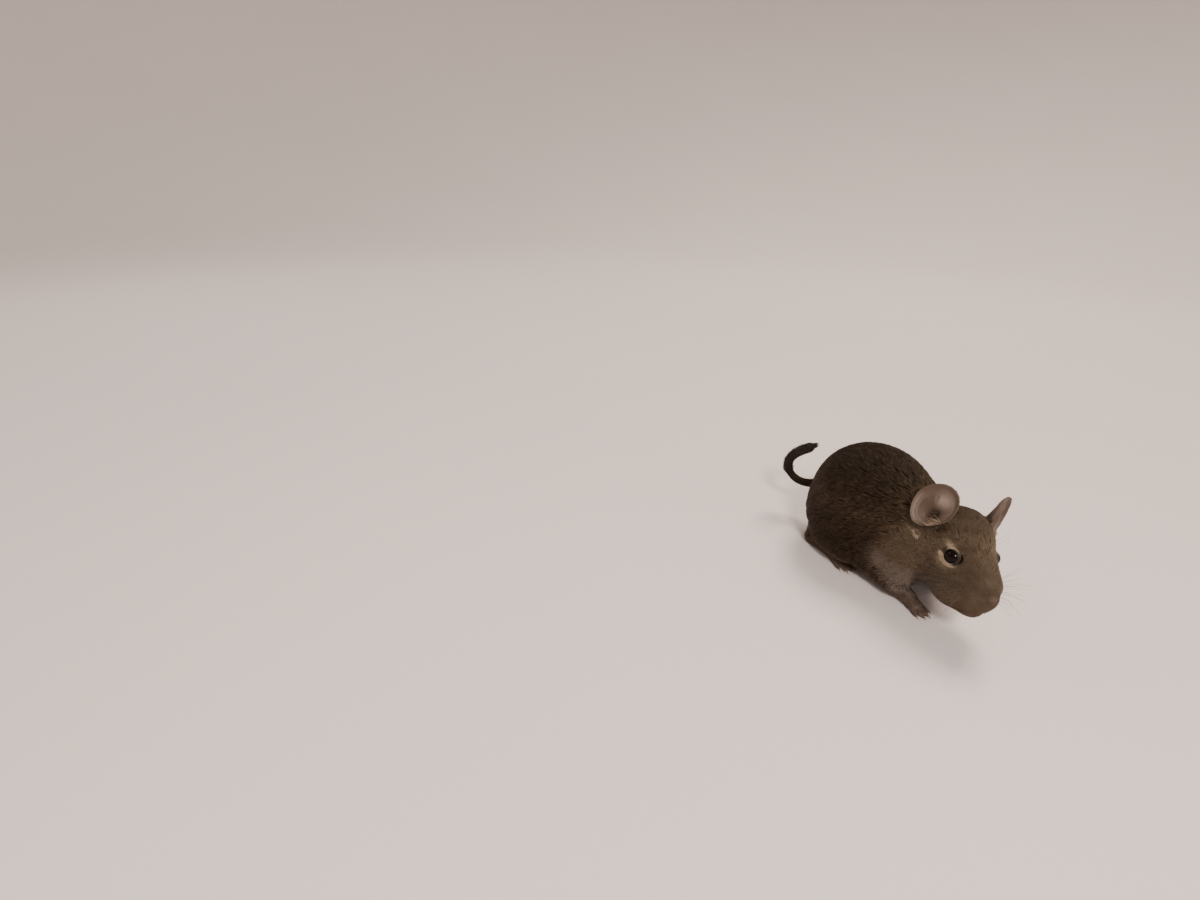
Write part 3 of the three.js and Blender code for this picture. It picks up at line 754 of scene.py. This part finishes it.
def sink_eyes(points):
    """Presses the head in round each eye by as much as the eye sits deeper."""
    for side in SIDES:
        gap = np.linalg.norm(points - SOLID_EYES[side], axis=1) - EYE_RADIUS
        points = points - EYE_AXES[side] * (EYE_SINK * smooth(5.0, 0.8, gap))[:, None]
    return points


def round_off(points, faces, ears):
    """Softens the flesh, least on ears, lids, paws, muzzle and tail, most at the neck's seams and eyes."""
    near_eye = smooth(1.7, 0.8, eye_gap(points))
    paws = smooth(9, 6, points[:, 2])
    muzzle = smooth(-34, -38, in_head(points)[:, 1])
    tail = smooth(TAIL_FOOT, TAIL_FOOT + 3, points[:, 1])
    weight = 0.55 * (1 - 0.75 * np.max([ears, near_eye, paws, muzzle, tail], axis=0))
    points = soften(points, faces, weight, 14)
    gap = eye_gap(points)
    clear = (1 - ear_share(points)) * smooth(2, 5, gap) * smooth(10, 16, points[:, 2])
    at_seam = np.zeros(len(points))
    for middle, facing in NECK_SEAMS:
        at_seam = np.maximum(at_seam, bell((points - middle - SHIFT) @ unit(facing), 5))
    round_eye = smooth(0.7, 1.4, gap) * smooth(5.5, 3.0, gap)
    return soften(points, faces, 0.6 * np.maximum(at_seam * clear, round_eye), 60)


def skin_marks(points, normals, ears):
    """The coat's marks as the skin shows them, with bare skin, painted light inside the ears where light
    shines through them, and painted shade in the canals and the middle of each ear.
    """
    marks = coat_marks(points, normals)
    _, back, high = in_head(points).T
    paw = smooth(9, 6.5, points[:, 2])
    nose = smooth(-40.2, -41.4, back) * smooth(-15.5, -13.5, high)
    bare = np.clip(np.max([0.8 * ears, 0.9 * paw, 0.8 * nose], axis=0), 0, 1)
    marks["bare"] = bare * (1 - 0.45 * nose) * (1 - 0.15 * paw)
    marks["dark"] = np.maximum(marks["dark"], 0.3 * nose)
    # Painted shade: the skin keeps less of the face's lighter colour, so it shows darker between the head's
    # tufts.
    marks["face"] = marks["face"] * 0.6
    marks["painted_ear_light"] = np.zeros(len(points))
    marks["canal"] = np.zeros(len(points))
    for side in SIDES:
        across, high, out_of_cup, reach = in_ear(points, side)
        here = ears * (np.abs(out_of_cup) < 4.5) * (reach < 1.2)
        inside = smooth(-0.8, -0.2, out_of_cup)
        # Painted shade: dark in the canal's pit, and a wide faint shade over the middle of the ear.
        hollow = np.exp(-((pit_gap(across, high) / 2.1) ** 4))
        shade = 0.3 * bell(np.hypot(across - 1, high + 2), 5.5) * inside
        marks["canal"] = marks["canal"] + here * np.maximum(hollow, shade)
        # Painted light: a lit patch high in each ear and a pale crescent low inside its rim, as if light
        # shone through the thin ear.
        lit = bell(np.hypot(across + 1.8, high - 5.0), 3.8)
        crescent = bell(reach - 0.8, 0.14) * smooth(4, -5, high) * smooth(-4, 3, across)
        bloom = np.maximum(lit, 0.7 * crescent) * inside
        marks["painted_ear_light"] = np.clip(marks["painted_ear_light"] + 0.8 * here * bloom, 0, 1)
    return marks


def make_skin():
    """The skin: the flesh rounded off, its ears, toes and mouth shaped, drawn in by the depth of the coat."""
    points, faces = one_skin()
    points = sink_eyes(points)
    ears = ear_share(points)
    points = round_off(points, faces, ears)
    points = short_toes(shape_ears(points, ear_share(points)))
    normals = soften(point_normals(points, faces), faces, np.full(len(points), 0.5), 10)
    normals = unit(normals)
    points = points - normals * (LIP_DEPTH * mouth_lines(points))[:, None]
    points = points - normals * coat_depth(points)[:, None]
    points[:, 2] = np.maximum(points[:, 2], 0.0)
    skin = mesh_piece("skin", points, faces, SKIN, "coat", marks=skin_marks(points, normals, ears))
    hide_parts(*FLESH)
    triangles = np.concatenate([faces[:, :3], faces[:, [0, 2, 3]]])
    tree = BVHTree.FromPolygons(points.tolist(), faces.tolist(), all_triangles=False)
    return Skin(points, normals, triangles, tree)


# The coat

def lie_of_coat(points, normals):
    """Which way the hair lies: back from the nose, over the back to the rump and down the legs."""
    head = head_share(points)[:, None]
    on_face = unit(unit(points - NOSE_TIP) + 0.9 * along_head((0, 1, -0.12)))
    sideways = normals[:, :1] * (1 - np.abs(normals[:, 2:]))
    over_body = unit(np.array([0.0, 1.0, -0.1]) + sideways * [0.25, 0, 0] - np.abs(sideways) * [0, 0, 0.45])
    down_rump = unit(np.array([0.0, 0.45, -0.9]) + sideways * [0.3, 0, 0])
    rear = smooth(30, 52, points[:, 1])[:, None]
    body = unit(over_body * (1 - rear) + down_rump * rear)
    leg = (smooth(24, 10, points[:, 2]) * smooth(8, 14, np.abs(points[:, 0])))[:, None]
    body = unit(body * (1 - leg) + np.array([0.0, 0.25, -0.95]) * leg)
    way = body * (1 - head) + on_face * head
    way = unit(way - normals * np.sum(way * normals, axis=1, keepdims=True))
    # The lie wanders by up to some 14 degrees in waves about 9 mm and 4 mm long.
    wave = 0.16 * np.sin(points @ [0.62, 0.23, 0.4]) + 0.10 * np.sin(points @ [-0.9, 1.2, 0.8] + 1.7)
    angle = (wave + random.normal(0, 0.12, len(points)))[:, None]
    return unit(way * np.cos(angle) + np.cross(normals, way) * np.sin(angle))


def strew(skin, share, spacing):
    """Roots strewn over the skin where the share is above zero, at most one in each small cube of space, and
    the skin's normals there."""
    share = np.asarray(share, float)
    corners = skin.points[skin.triangles]
    across = np.cross(corners[:, 1] - corners[:, 0], corners[:, 2] - corners[:, 0])
    area = np.linalg.norm(across, axis=1) / 2 * share[skin.triangles].mean(1)
    count = int(area.sum() / spacing ** 2 * ROOTS_TRIED)
    chosen = random.choice(len(skin.triangles), count, p=area / area.sum())
    a, b = random.random(count), random.random(count)
    flip = a + b > 1
    a[flip], b[flip] = 1 - a[flip], 1 - b[flip]
    weights = np.stack([1 - a - b, a, b], axis=1)[:, :, None]
    roots = (corners[chosen] * weights).sum(1)
    cubes = np.floor(roots / spacing).astype(np.int64)
    key = (cubes[:, 0] * 73856093) ^ (cubes[:, 1] * 19349663) ^ (cubes[:, 2] * 83492791)
    _, first = np.unique(key, return_index=True)
    up = unit((skin.normals[skin.triangles[chosen[first]]] * weights[first]).sum(1))
    return roots[first], up


def tufts(name, roots, up, way, length, width, depth, tone, marks, unwrap, tree=None):
    """One coat piece: a solid, flat tapered tuft at each root, sunk in the skin, that bends over and lies
    along it. Without a tree of the skin to lie on, the tufts stand free."""
    count = len(roots)
    assert count * TUFT_TRIANGLES < COAT_PIECE_LIMIT, name
    roll = random.normal(0, 0.35, count)[:, None]
    aside = unit(np.cross(up, way) * np.cos(roll) + up * np.sin(roll))
    tips = roots + way * length[:, None]
    tip_up = up.copy()
    for n in range(count if tree else 0):
        tips[n], tip_up[n], _, _ = tree.find_nearest(tips[n])
    # A tuft that would climb onto another form, such as an ear, is cut short instead.
    climbs = np.linalg.norm(tips - roots, axis=1) > 1.15 * length
    climbs = climbs | (np.sum(up * tip_up, axis=1) < 0.45)
    tips[climbs] = (roots + way * (0.4 * length)[:, None])[climbs]
    tip_up[climbs] = up[climbs]
    tips = tips + tip_up * (depth * random.uniform(0.75, 1.1, count))[:, None]
    start = roots - up * (0.25 + 0.1 * depth)[:, None]
    middle = start * 0.5 + tips * 0.5 + unit(up + tip_up) * (depth * 0.34)[:, None]
    half, thick = (width / 2)[:, None], (width * 0.34)[:, None]
    rings = three_round(start, aside, up, half * 0.85, thick * 0.85)
    rings += three_round(middle, aside, up, half, thick)
    points = np.stack(rings + [tips], axis=1).reshape(-1, 3)
    points[:, 2] = np.maximum(points[:, 2], 0.05)
    uv = hair_patches(np.clip(unwrap(roots), 0.002, 0.998), (-1, 0))
    painted = {key: np.repeat(values, TUFT_POINTS) for key, values in marks.items()}
    painted["along"] = np.tile([0, 0, 0, 0.5, 0.5, 0.5, 1.0], count)
    painted["tone"] = np.repeat(tone, TUFT_POINTS)
    painted.setdefault("bare", np.zeros(len(points)))
    mesh_piece(name, points, hair_faces(2, count), COAT, "coat", uv, painted)


def round_axis(across, high, along):
    """An unwrap round a long axis, and along it."""
    angle = np.arctan2(across, high) / (2 * math.pi) + 0.5
    return np.stack([angle, (along - along.min()) / np.ptp(along)], axis=1)


def round_body(roots):
    """An unwrap of the body's own shape."""
    x, y, z = roots.T
    return round_axis(x, z - 36, y)


def round_head(roots):
    """An unwrap of the head's own shape, from the nose back."""
    across, back, high = in_head(roots).T
    return round_axis(across, high + 12, back)


def lay_bands(bands, along, across, marks, unwrap, tree, **each):
    """One coat piece for each band along the body or the head, on each side of it."""
    for part, near, far in bands:
        for side, hand in SIDES.items():
            here = (along >= near) & (along < far) & ((across >= 0) == (hand > 0))
            own = {key: values[here] for key, values in each.items()}
            own_marks = {key: values[here] for key, values in marks.items()}
            tufts(f"coat_{part}_{side}", marks=own_marks, unwrap=unwrap, tree=tree, **own)


def coat_of_body(skin, where):
    """The coat of neck, back, flanks and legs, shorter on the legs and towards the head."""
    roots, up = strew(skin, where, BODY_SPACING)
    way = lie_of_coat(roots, up)
    low = smooth(24, 8, roots[:, 2])
    neck = head_share(roots)
    length = (BODY_HAIR - 3.0 * low - 2.5 * neck) * random.uniform(0.78, 1.2, len(roots))
    width = (0.72 - 0.15 * low - 0.12 * neck) * random.uniform(0.8, 1.2, len(roots))
    tone = np.clip(random.beta(*DARK_HAIRS, len(roots)) + 0.3 * mottle(roots), 0, 1)
    depth = np.maximum(coat_depth(roots), 0.5) * 0.95
    lay_bands(
        BODY_BANDS, roots[:, 1], roots[:, 0], coat_marks(roots, up), round_body, skin.tree,
        roots=roots, up=up, way=way, length=length, width=width, depth=depth, tone=tone,
    )


def coat_of_head(skin, where):
    """The coat of the head, fine and short on the face and shortest at the eyes."""
    roots, up = strew(skin, where, HEAD_SPACING)
    way = lie_of_coat(roots, up)
    across, back, _ = in_head(roots).T
    face = smooth(-12, -38, back)
    length = (HEAD_HAIR - 3.0 * face) * random.uniform(0.75, 1.25, len(roots))
    length = length * (1 - 0.5 * smooth(6, 1, eye_gap(roots)))
    width = (0.46 - 0.18 * face) * random.uniform(0.8, 1.2, len(roots))
    tone = (1 + 0.5 * face) * random.beta(*DARK_HAIRS, len(roots)) + 0.6 * mottle(roots)
    depth = np.maximum(coat_depth(roots), 0.22)
    lay_bands(
        HEAD_BANDS, back, across, coat_marks(roots, up), round_head, skin.tree,
        roots=roots, up=up, way=way, length=length, width=width, depth=depth, tone=np.clip(tone, 0, 1),
    )


def make_coat(skin):
    """The tufts of body and head, kept off the eyes, the ears, the paws, the tail, the nose and the mouth."""
    _, back, high = in_head(skin.points).T
    open_skin = (eye_gap(skin.points) > 0.9) & (ear_share(skin.points) < 0.3)
    open_skin &= (smooth(10, 7, skin.points[:, 2]) < 0.3) & (skin.points[:, 1] <= TAIL_FOOT + 2.5)
    nose = (back < -41.6) & (high > -15)
    head = head_share(skin.points) > 0.5
    coat_of_body(skin, open_skin & ~head)
    coat_of_head(skin, open_skin & head & ~nose & (mouth_lines(skin.points) < 0.4))


def pale_tuft(name, skin, spots, lift, way, length, width, depth, spread):
    """A few long pale hairs that stand free of the coat, rooted on the skin near the spots."""
    count = len(spots)
    roots = np.array([skin.tree.find_nearest(spot)[0] for spot in spots])
    lift = np.tile(unit(lift), (count, 1))
    way = unit(unit(way) + random.normal(0, spread, (count, 3)))
    marks = coat_marks(roots, lift)
    marks["dark"] = np.zeros(count)
    marks["ring"] = np.full(count, 0.8)
    length = length * random.uniform(0.7, 1.2, count)
    tufts(name, roots, lift, way, length, np.full(count, width), np.full(count, depth), np.zeros(count),
          marks, round_head)


def short_hair(name, skin, share, spacing, lie, size, unwrap, shade, bare):
    """A piece of short hair. Its size is length, width and depth, and lie gives its way at its roots."""
    roots, up = strew(skin, share, spacing)
    count = len(roots)
    way = lie(roots)
    way = unit(way - up * np.sum(way * up, axis=1, keepdims=True) + random.normal(0, 0.14, way.shape))
    marks = coat_marks(roots, up)
    marks["dark"] = np.full(count, shade)
    marks["bare"] = np.full(count, bare)
    length, width, depth = size
    length = length * random.uniform(0.7, 1.2, count)
    tone = random.beta(*DARK_HAIRS, count)
    tufts(name, roots, up, way, length, np.full(count, width), np.full(count, depth), tone, marks, unwrap,
          skin.tree)


def hair_of_ear(skin, side, ears):
    """Down on the back and the rim of an ear, thin inside it and none at the canal."""
    across, high, out_of_cup, reach = in_ear(skin.points, side)
    here = ears * (np.abs(out_of_cup) < 4) * (reach < 1.2) * smooth(2.2, 3.2, pit_gap(across, high))
    hairy = here * np.clip(0.12 + smooth(-0.2, -0.8, out_of_cup) + smooth(0.86, 0.95, reach), 0, 1)
    foot = on_head(EARS[side]["middle"]) - along_head(EARS[side]["up"]) * 8
    short_hair(f"coat_ear_{side}", skin, hairy, EAR_SPACING, lambda at: unit(at - foot),
               (EAR_HAIR, 0.15, 0.16), round_head, 0.1, 0.6)


def ear_fringe(skin, side):
    """Pale hairs that cross the ear's foot, rooted on its front edge."""
    out, up, opening = ear_axes(side)
    foot = on_head(EARS[side]["middle"]) + out * random.uniform(-11, -6, FRINGE_HAIRS)[:, None]
    foot = foot + up * random.uniform(-10.5, -3.5, FRINGE_HAIRS)[:, None]
    way = out - 0.25 * up + 0.3 * opening
    pale_tuft(f"coat_ear_fringe_{side}", skin, foot, opening, way, 4.2, 0.15, 0.8, 0.3)


def ear_lock(skin, side):
    """A thicker pale lock that lies in the notch behind and below the ear."""
    notch = NOTCHES[side]
    behind = along_head((SIDES[side] * 0.95, 0.2, 0.1))
    where = notch[random.integers(0, 9, LOCK_HAIRS)] + random.normal(0, 0.45, (LOCK_HAIRS, 3))
    way = unit(notch[-1] - notch[0]) + 0.25 * behind
    pale_tuft(f"coat_ear_lock_{side}", skin, where, behind, way, 3.4, 0.3, 2.7, 0.16)


def hair_of_paws(skin, side):
    """Short hair on the fore and hind paw of one side, which points to the toes."""
    x, _, z = skin.points.T
    paw = smooth(11, 9, z) * smooth(0.8, 1.6, z) * (x * SIDES[side] > 0)
    short_hair(f"coat_paws_{side}", skin, paw, PAW_SPACING, lambda at: np.tile(PAW_HAIR_WAY, (len(at), 1)),
               (PAW_HAIR, 0.26, 0.26), round_body, 0.0, 0.75)


def hair_of_tail(skin):
    """Short dark hair along the tail."""
    line, along_line = tail_line()

    def down_tail(at):
        nearest = np.argmin(((at[:, None] - line[None]) ** 2).sum(2), axis=1)
        return along_line[nearest]

    tail = smooth(TAIL_FOOT + 1.5, TAIL_FOOT + 3, skin.points[:, 1])
    short_hair("coat_tail", skin, tail, TAIL_SPACING, down_tail, (TAIL_HAIR, 0.24, 0.42), round_body, 0.62, 0)


def make_fine_hair(skin):
    """The short hair of ears, paws and tail, each lying its own way."""
    ears = ear_share(skin.points)
    for side in SIDES:
        hair_of_ear(skin, side, ears)
        ear_fringe(skin, side)
        ear_lock(skin, side)
        hair_of_paws(skin, side)
    hair_of_tail(skin)


# Eyes

def make_eye(side):
    """The eyeball with its slightly fuller cornea."""
    rings, around = 28, 40
    axis = EYE_AXES[side]
    across = unit(np.cross(axis, [0, 0, 1]))
    over = np.cross(axis, across)
    points = []
    for lean in np.arange(rings + 1) / rings * math.pi:
        bulge = 1 + 0.035 * bell(lean, 0.7)
        for turn in np.arange(around) / around * 2 * math.pi:
            ring = across * math.cos(turn) + over * math.sin(turn)
            points.append(EYES[side] + (axis * math.cos(lean) + ring * math.sin(lean)) * EYE_RADIUS * bulge)
    faces = []
    for r in range(rings):
        for s in range(around):
            a, b = r * around + s, r * around + (s + 1) % around
            faces += [(a, a + around, b + around), (a, b + around, b)]
    points, faces = welded(np.array(points), np.array(faces))
    eye = mesh_piece("eye_ball_" + side, points, faces, EYE, "eye")
    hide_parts("eye_" + side)


def make_lid_margin(side):
    """The damp dark margin of the lids, drawn to a point at the eye's front corner round the tear corner."""
    hand = SIDES[side]
    axis = EYE_AXES[side]
    forward = along_head((0.12 * hand, -0.86, -0.5))
    forward = unit(forward - axis * (forward @ axis))
    over = unit(np.cross(axis, forward)) * hand
    path = []
    for angle in np.linspace(0, 2 * math.pi, 49):
        turn = math.atan2(math.sin(angle), math.cos(angle))
        opening = LID_OPENING + 0.5 * bell(turn, 0.3) + 0.15 * bell(abs(turn) - math.pi, 0.4)
        height = math.sqrt(max((EYE_RADIUS * 1.01) ** 2 - opening ** 2, 0))
        outward = forward * math.cos(angle) + over * math.sin(angle)
        path.append(EYES[side] + axis * height + outward * opening)
    margin = tube_mesh(path, np.full(len(path), LID_MARGIN), 8)
    corner_middle = EYES[side] + forward * (LID_OPENING + 0.35) + axis * 1.75
    reach = unit(forward - 0.5 * axis)
    corner_path = [corner_middle + reach * step for step in np.linspace(-0.9, 1.3, 7)]
    corner = tube_mesh(corner_path, [0.3, 0.5, 0.6, 0.6, 0.5, 0.34, 0.1], 10)
    mesh_piece("lid_margin_" + side, *joined([margin, corner]), LID, "eye")


# Claws, whiskers and bristles

def make_claws():
    """A curved horn claw on each toe, and over each hind toe a comb of stiff pale hairs."""
    claws, combs = [], []
    for name, root, heading, length, radius, claw in toes():
        ahead = np.array([math.sin(heading), -math.cos(heading), 0])
        aside = np.array([ahead[1], -ahead[0], 0])

        def at(along, high):
            return np.array([*root, 0]) + ahead * along + np.array([0, 0, high])

        path = curve_points([
            at(length - 0.4, radius * 1.05), at(length + radius * 0.7, radius * 1.35),
            at(length + radius * 0.4 + claw * 0.55, radius * 1.0), at(length + claw, 0.3),
        ], 9)
        claws.append(tube_mesh(path, np.linspace(0.62, 0.12, 9) * (radius / TOE_RADIUS), 8))
        for k in range(7 if name.startswith("hind") else 0):
            swing = (k - 3) * 0.26
            start = at(length - 0.4 + 0.3 * (k % 2), radius * 1.5) + aside * swing
            tip = at(length + claw * 0.85 - 0.25 * abs(k - 3), radius * 1.25) + aside * swing * 2.2
            middle = (start + tip) / 2 + np.array([0, 0, 0.75])
            combs.append(tube_mesh(curve_points([start, middle, tip], 6), np.linspace(0.1, 0.03, 6), 4))
    mesh_piece("claws", *joined(claws), CLAW, "paw")
    points, triangles = joined(combs)
    mesh_piece("toe_combs", points, triangles, WHISKER, "paw", marks={"along": np.full(len(points), 0.6)})


def make_whiskers(tree):
    """Four rows of whiskers on each side of the muzzle, longest at the back, and a few over each eye."""
    steps, around = 12, 5
    hairs = []

    def hair(root_on_head, toward, length, radius, droop):
        root, up, _, _ = tree.find_nearest(on_head(root_on_head))
        root, up = np.array(root), np.array(up)
        heading = along_head(toward)
        end = root + heading * length + np.array([0, 0, -droop * length])
        middle = root + unit(heading + 0.35 * up) * length * 0.5
        path = curve_points([root - up * 0.4, middle, end], steps)
        hairs.append(tube_mesh(path, np.linspace(radius, 0.03, steps), around))

    for hand in SIDES.values():
        for row in range(4):
            for step in range(5):
                root = (hand * 9, -35.5 + 1.9 * step + 0.4 * row, -14.5 - 2.1 * row)
                fan = 0.35 - 0.33 * row + random.normal(0, 0.07)
                sweep = -0.55 + 0.26 * step + random.normal(0, 0.06)
                length = WHISKER_LENGTH * (0.5 + 0.12 * step) * random.uniform(0.85, 1.05)
                hair(root, (hand, sweep, fan), length, 0.05 + 0.008 * step, 0.12)
        for step in range(3):
            root = (hand * 9, -21 + 2.2 * step, 1.5)
            hair(root, (hand * 0.75, 0.1 + 0.2 * step, 0.75), 10 + 2 * step, 0.045, -0.05)
    along = np.concatenate([np.repeat(np.linspace(0, 1, steps), around), [0, 1]])
    marks = {"along": np.tile(along, len(hairs))}
    mesh_piece("whiskers", *joined(hairs), WHISKER, "coat", marks=marks)


def make_brush():
    """The tail's end: a core of skin hidden by long stiff bristles that spread towards the tip."""
    line, along_line = tail_line()
    last = TAIL_POINTS - 1
    radii = TAIL_RADIUS * (TAIL_AT_ROOT + (TAIL_AT_END - TAIL_AT_ROOT) * np.linspace(0, 1, TAIL_POINTS))
    first = int(BRUSH_START * last) - 3
    core = tube_mesh(line[first:], np.append(radii[first:-2] * 0.85, [0.8, 0.3]), 12)
    mesh_piece("brush_core", *core, BRISTLE, "brush", marks={"along": np.zeros(len(core[0]))})
    start = BRUSH_START - 0.05
    place = start + (1.0 - start) * random.random(BRISTLES) ** 0.85
    at = np.clip((place * last).astype(int), 0, last)
    middle, ahead, radius = line[at], along_line[at], radii[at]
    across = unit(np.cross(ahead, ASIDE))
    over = np.cross(ahead, across)
    angle = random.random(BRISTLES) * 2 * math.pi
    outward = across * np.cos(angle)[:, None] + over * np.sin(angle)[:, None]
    length = (BRISTLE_LENGTH + 4.2 * smooth(BRUSH_START, 0.9, place)) * random.uniform(0.75, 1.1, BRISTLES)
    end_at = at + length / POINT_STEP
    past = np.clip(end_at - last, 0, None) * POINT_STEP * random.uniform(0.3, 1.0, BRISTLES)
    end_at = np.clip(end_at, 0, last).astype(int)
    flare = 0.2 + 1.9 * random.random(BRISTLES) ** 1.6 + 0.07 * length
    # Bristles that pass the tail's end close in, so that the brush ends in a loose point.
    spread = (radius * 0.85 + flare) * (1 - 0.65 * smooth(0, 5.5, past))
    tips = line[end_at] + along_line[end_at] * past[:, None] + outward * spread[:, None]
    root = middle + outward * (radius * 0.6)[:, None]
    bend = (root + tips) / 2 + outward * (radius * 0.32)[:, None]
    near_tip = bend * 0.45 + tips * 0.55 + outward * 0.1
    aside = np.cross(outward, ahead)
    rings = []
    for ring, half in ((root, 0.2), (bend, 0.22), (near_tip, 0.15)):
        rings += three_round(ring, aside, outward, half, half * 0.8)
    points = np.stack(rings + [tips], axis=1).reshape(-1, 3)
    spots = np.stack([angle / (2 * math.pi), place], axis=1) * 0.99 + 0.005
    marks = {"along": np.tile([0, 0, 0, 0.3, 0.3, 0.3, 0.7, 0.7, 0.7, 1.0], BRISTLES)}
    uv = hair_patches(spots, (-1, -0.3, 0.3))
    brush = mesh_piece("brush", points, hair_faces(3, BRISTLES), BRISTLE, "brush", uv, marks)
    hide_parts("tail_brush")


# Camera, floor and light

def make_camera():
    """The photograph's own viewpoint: 230 mm over the floor, nearly level sideways, with a wide lens."""
    camera = bpy.data.objects.new("camera", bpy.data.cameras.new("camera"))
    camera.data.sensor_width = SENSOR_WIDTH
    camera.data.lens = SENSOR_WIDTH * FOCAL_PIXELS / FRAME_PIXELS
    camera.data.clip_start = 5 * MM
    camera.location = Vector(CAMERA_PLACE) * MM
    right, up, ahead = (Vector(v) for v in (CAMERA_RIGHT, CAMERA_UP, CAMERA_AHEAD))
    camera.rotation_euler = Matrix((right, up, -ahead)).transposed().to_euler()
    bpy.context.scene.collection.objects.link(camera)
    bpy.context.scene.camera = camera


def make_floor():
    """A plain pale floor, round, that rises on every side in a wide curve far from the model."""
    flat, curve, around = 1500.0, 1600.0, 64
    rings = [(flat * n / 6, 0.0) for n in range(1, 7)]
    for rise in np.linspace(0.1, math.pi / 2, 12):
        rings.append((flat + curve * math.sin(rise), curve - curve * math.cos(rise)))
    points = [(0.0, 0.0, 0.0)]
    for radius, height in rings:
        for turn in np.arange(around) / around * 2 * math.pi:
            points.append((radius * math.cos(turn), radius * math.sin(turn), height))
    faces = [(0, 1 + s, 1 + (s + 1) % around) for s in range(around)]
    for r in range(len(rings) - 1):
        for s in range(around):
            a, b = 1 + r * around + s, 1 + r * around + (s + 1) % around
            faces.append((a, a + around, b + around, b))
    mesh = bpy.data.meshes.new("floor")
    mesh.from_pydata((np.array(points) * MM).tolist(), [], faces)
    mesh.polygons.foreach_set("use_smooth", np.ones(len(faces), bool))
    mesh.materials.append(painted_floor())
    floor = bpy.data.objects.new("floor", mesh)
    bpy.context.scene.collection.objects.link(floor)


def soft_light(name, place, aim, size, power, tint):
    """A square soft lamp. Its place, its aim and its side are in metres, its power in watts."""
    lamp = bpy.data.lights.new(name, "AREA")
    lamp.size = size
    lamp.energy = power
    lamp.color = colour(tint)[:3]
    light = bpy.data.objects.new(name, lamp)
    light.location = place
    light.rotation_euler = (Vector(aim) - Vector(place)).to_track_quat("-Z", "Y").to_euler()
    bpy.context.scene.collection.objects.link(light)


def make_light():
    """A large key light, two faint fills, a small lamp for the eye's glint, and pale light all round."""
    soft_light("key_light", (1.21, 0.55, 2.31), (0, 0, 0.03), 1.1, 86, "#fff0e0")
    soft_light("fill_light", (-1.0, -1.2, 0.9), (0, 0, 0.03), 1.2, 3, "#fff6f0")
    soft_light("rim_light", (-0.7, 1.1, 0.8), (0, 0, 0.04), 0.8, 3, "#fff6ee")
    soft_light("front_light", (-0.43, -0.56, 0.74), (0, -0.05, 0.04), 0.17, 9, "#fff4ea")
    world = bpy.data.worlds.new("studio")
    world.use_nodes = True
    background = world.node_tree.nodes["Background"]
    background.inputs["Color"].default_value = colour("#f0e9e4")
    background.inputs["Strength"].default_value = 0.44
    bpy.context.scene.world = world


make_camera()
make_floor()
make_light()
skin = make_skin()
make_coat(skin)
make_fine_hair(skin)
for which in SIDES:
    make_eye(which)
    make_lid_margin(which)
make_claws()
make_whiskers(skin.tree)
make_brush()
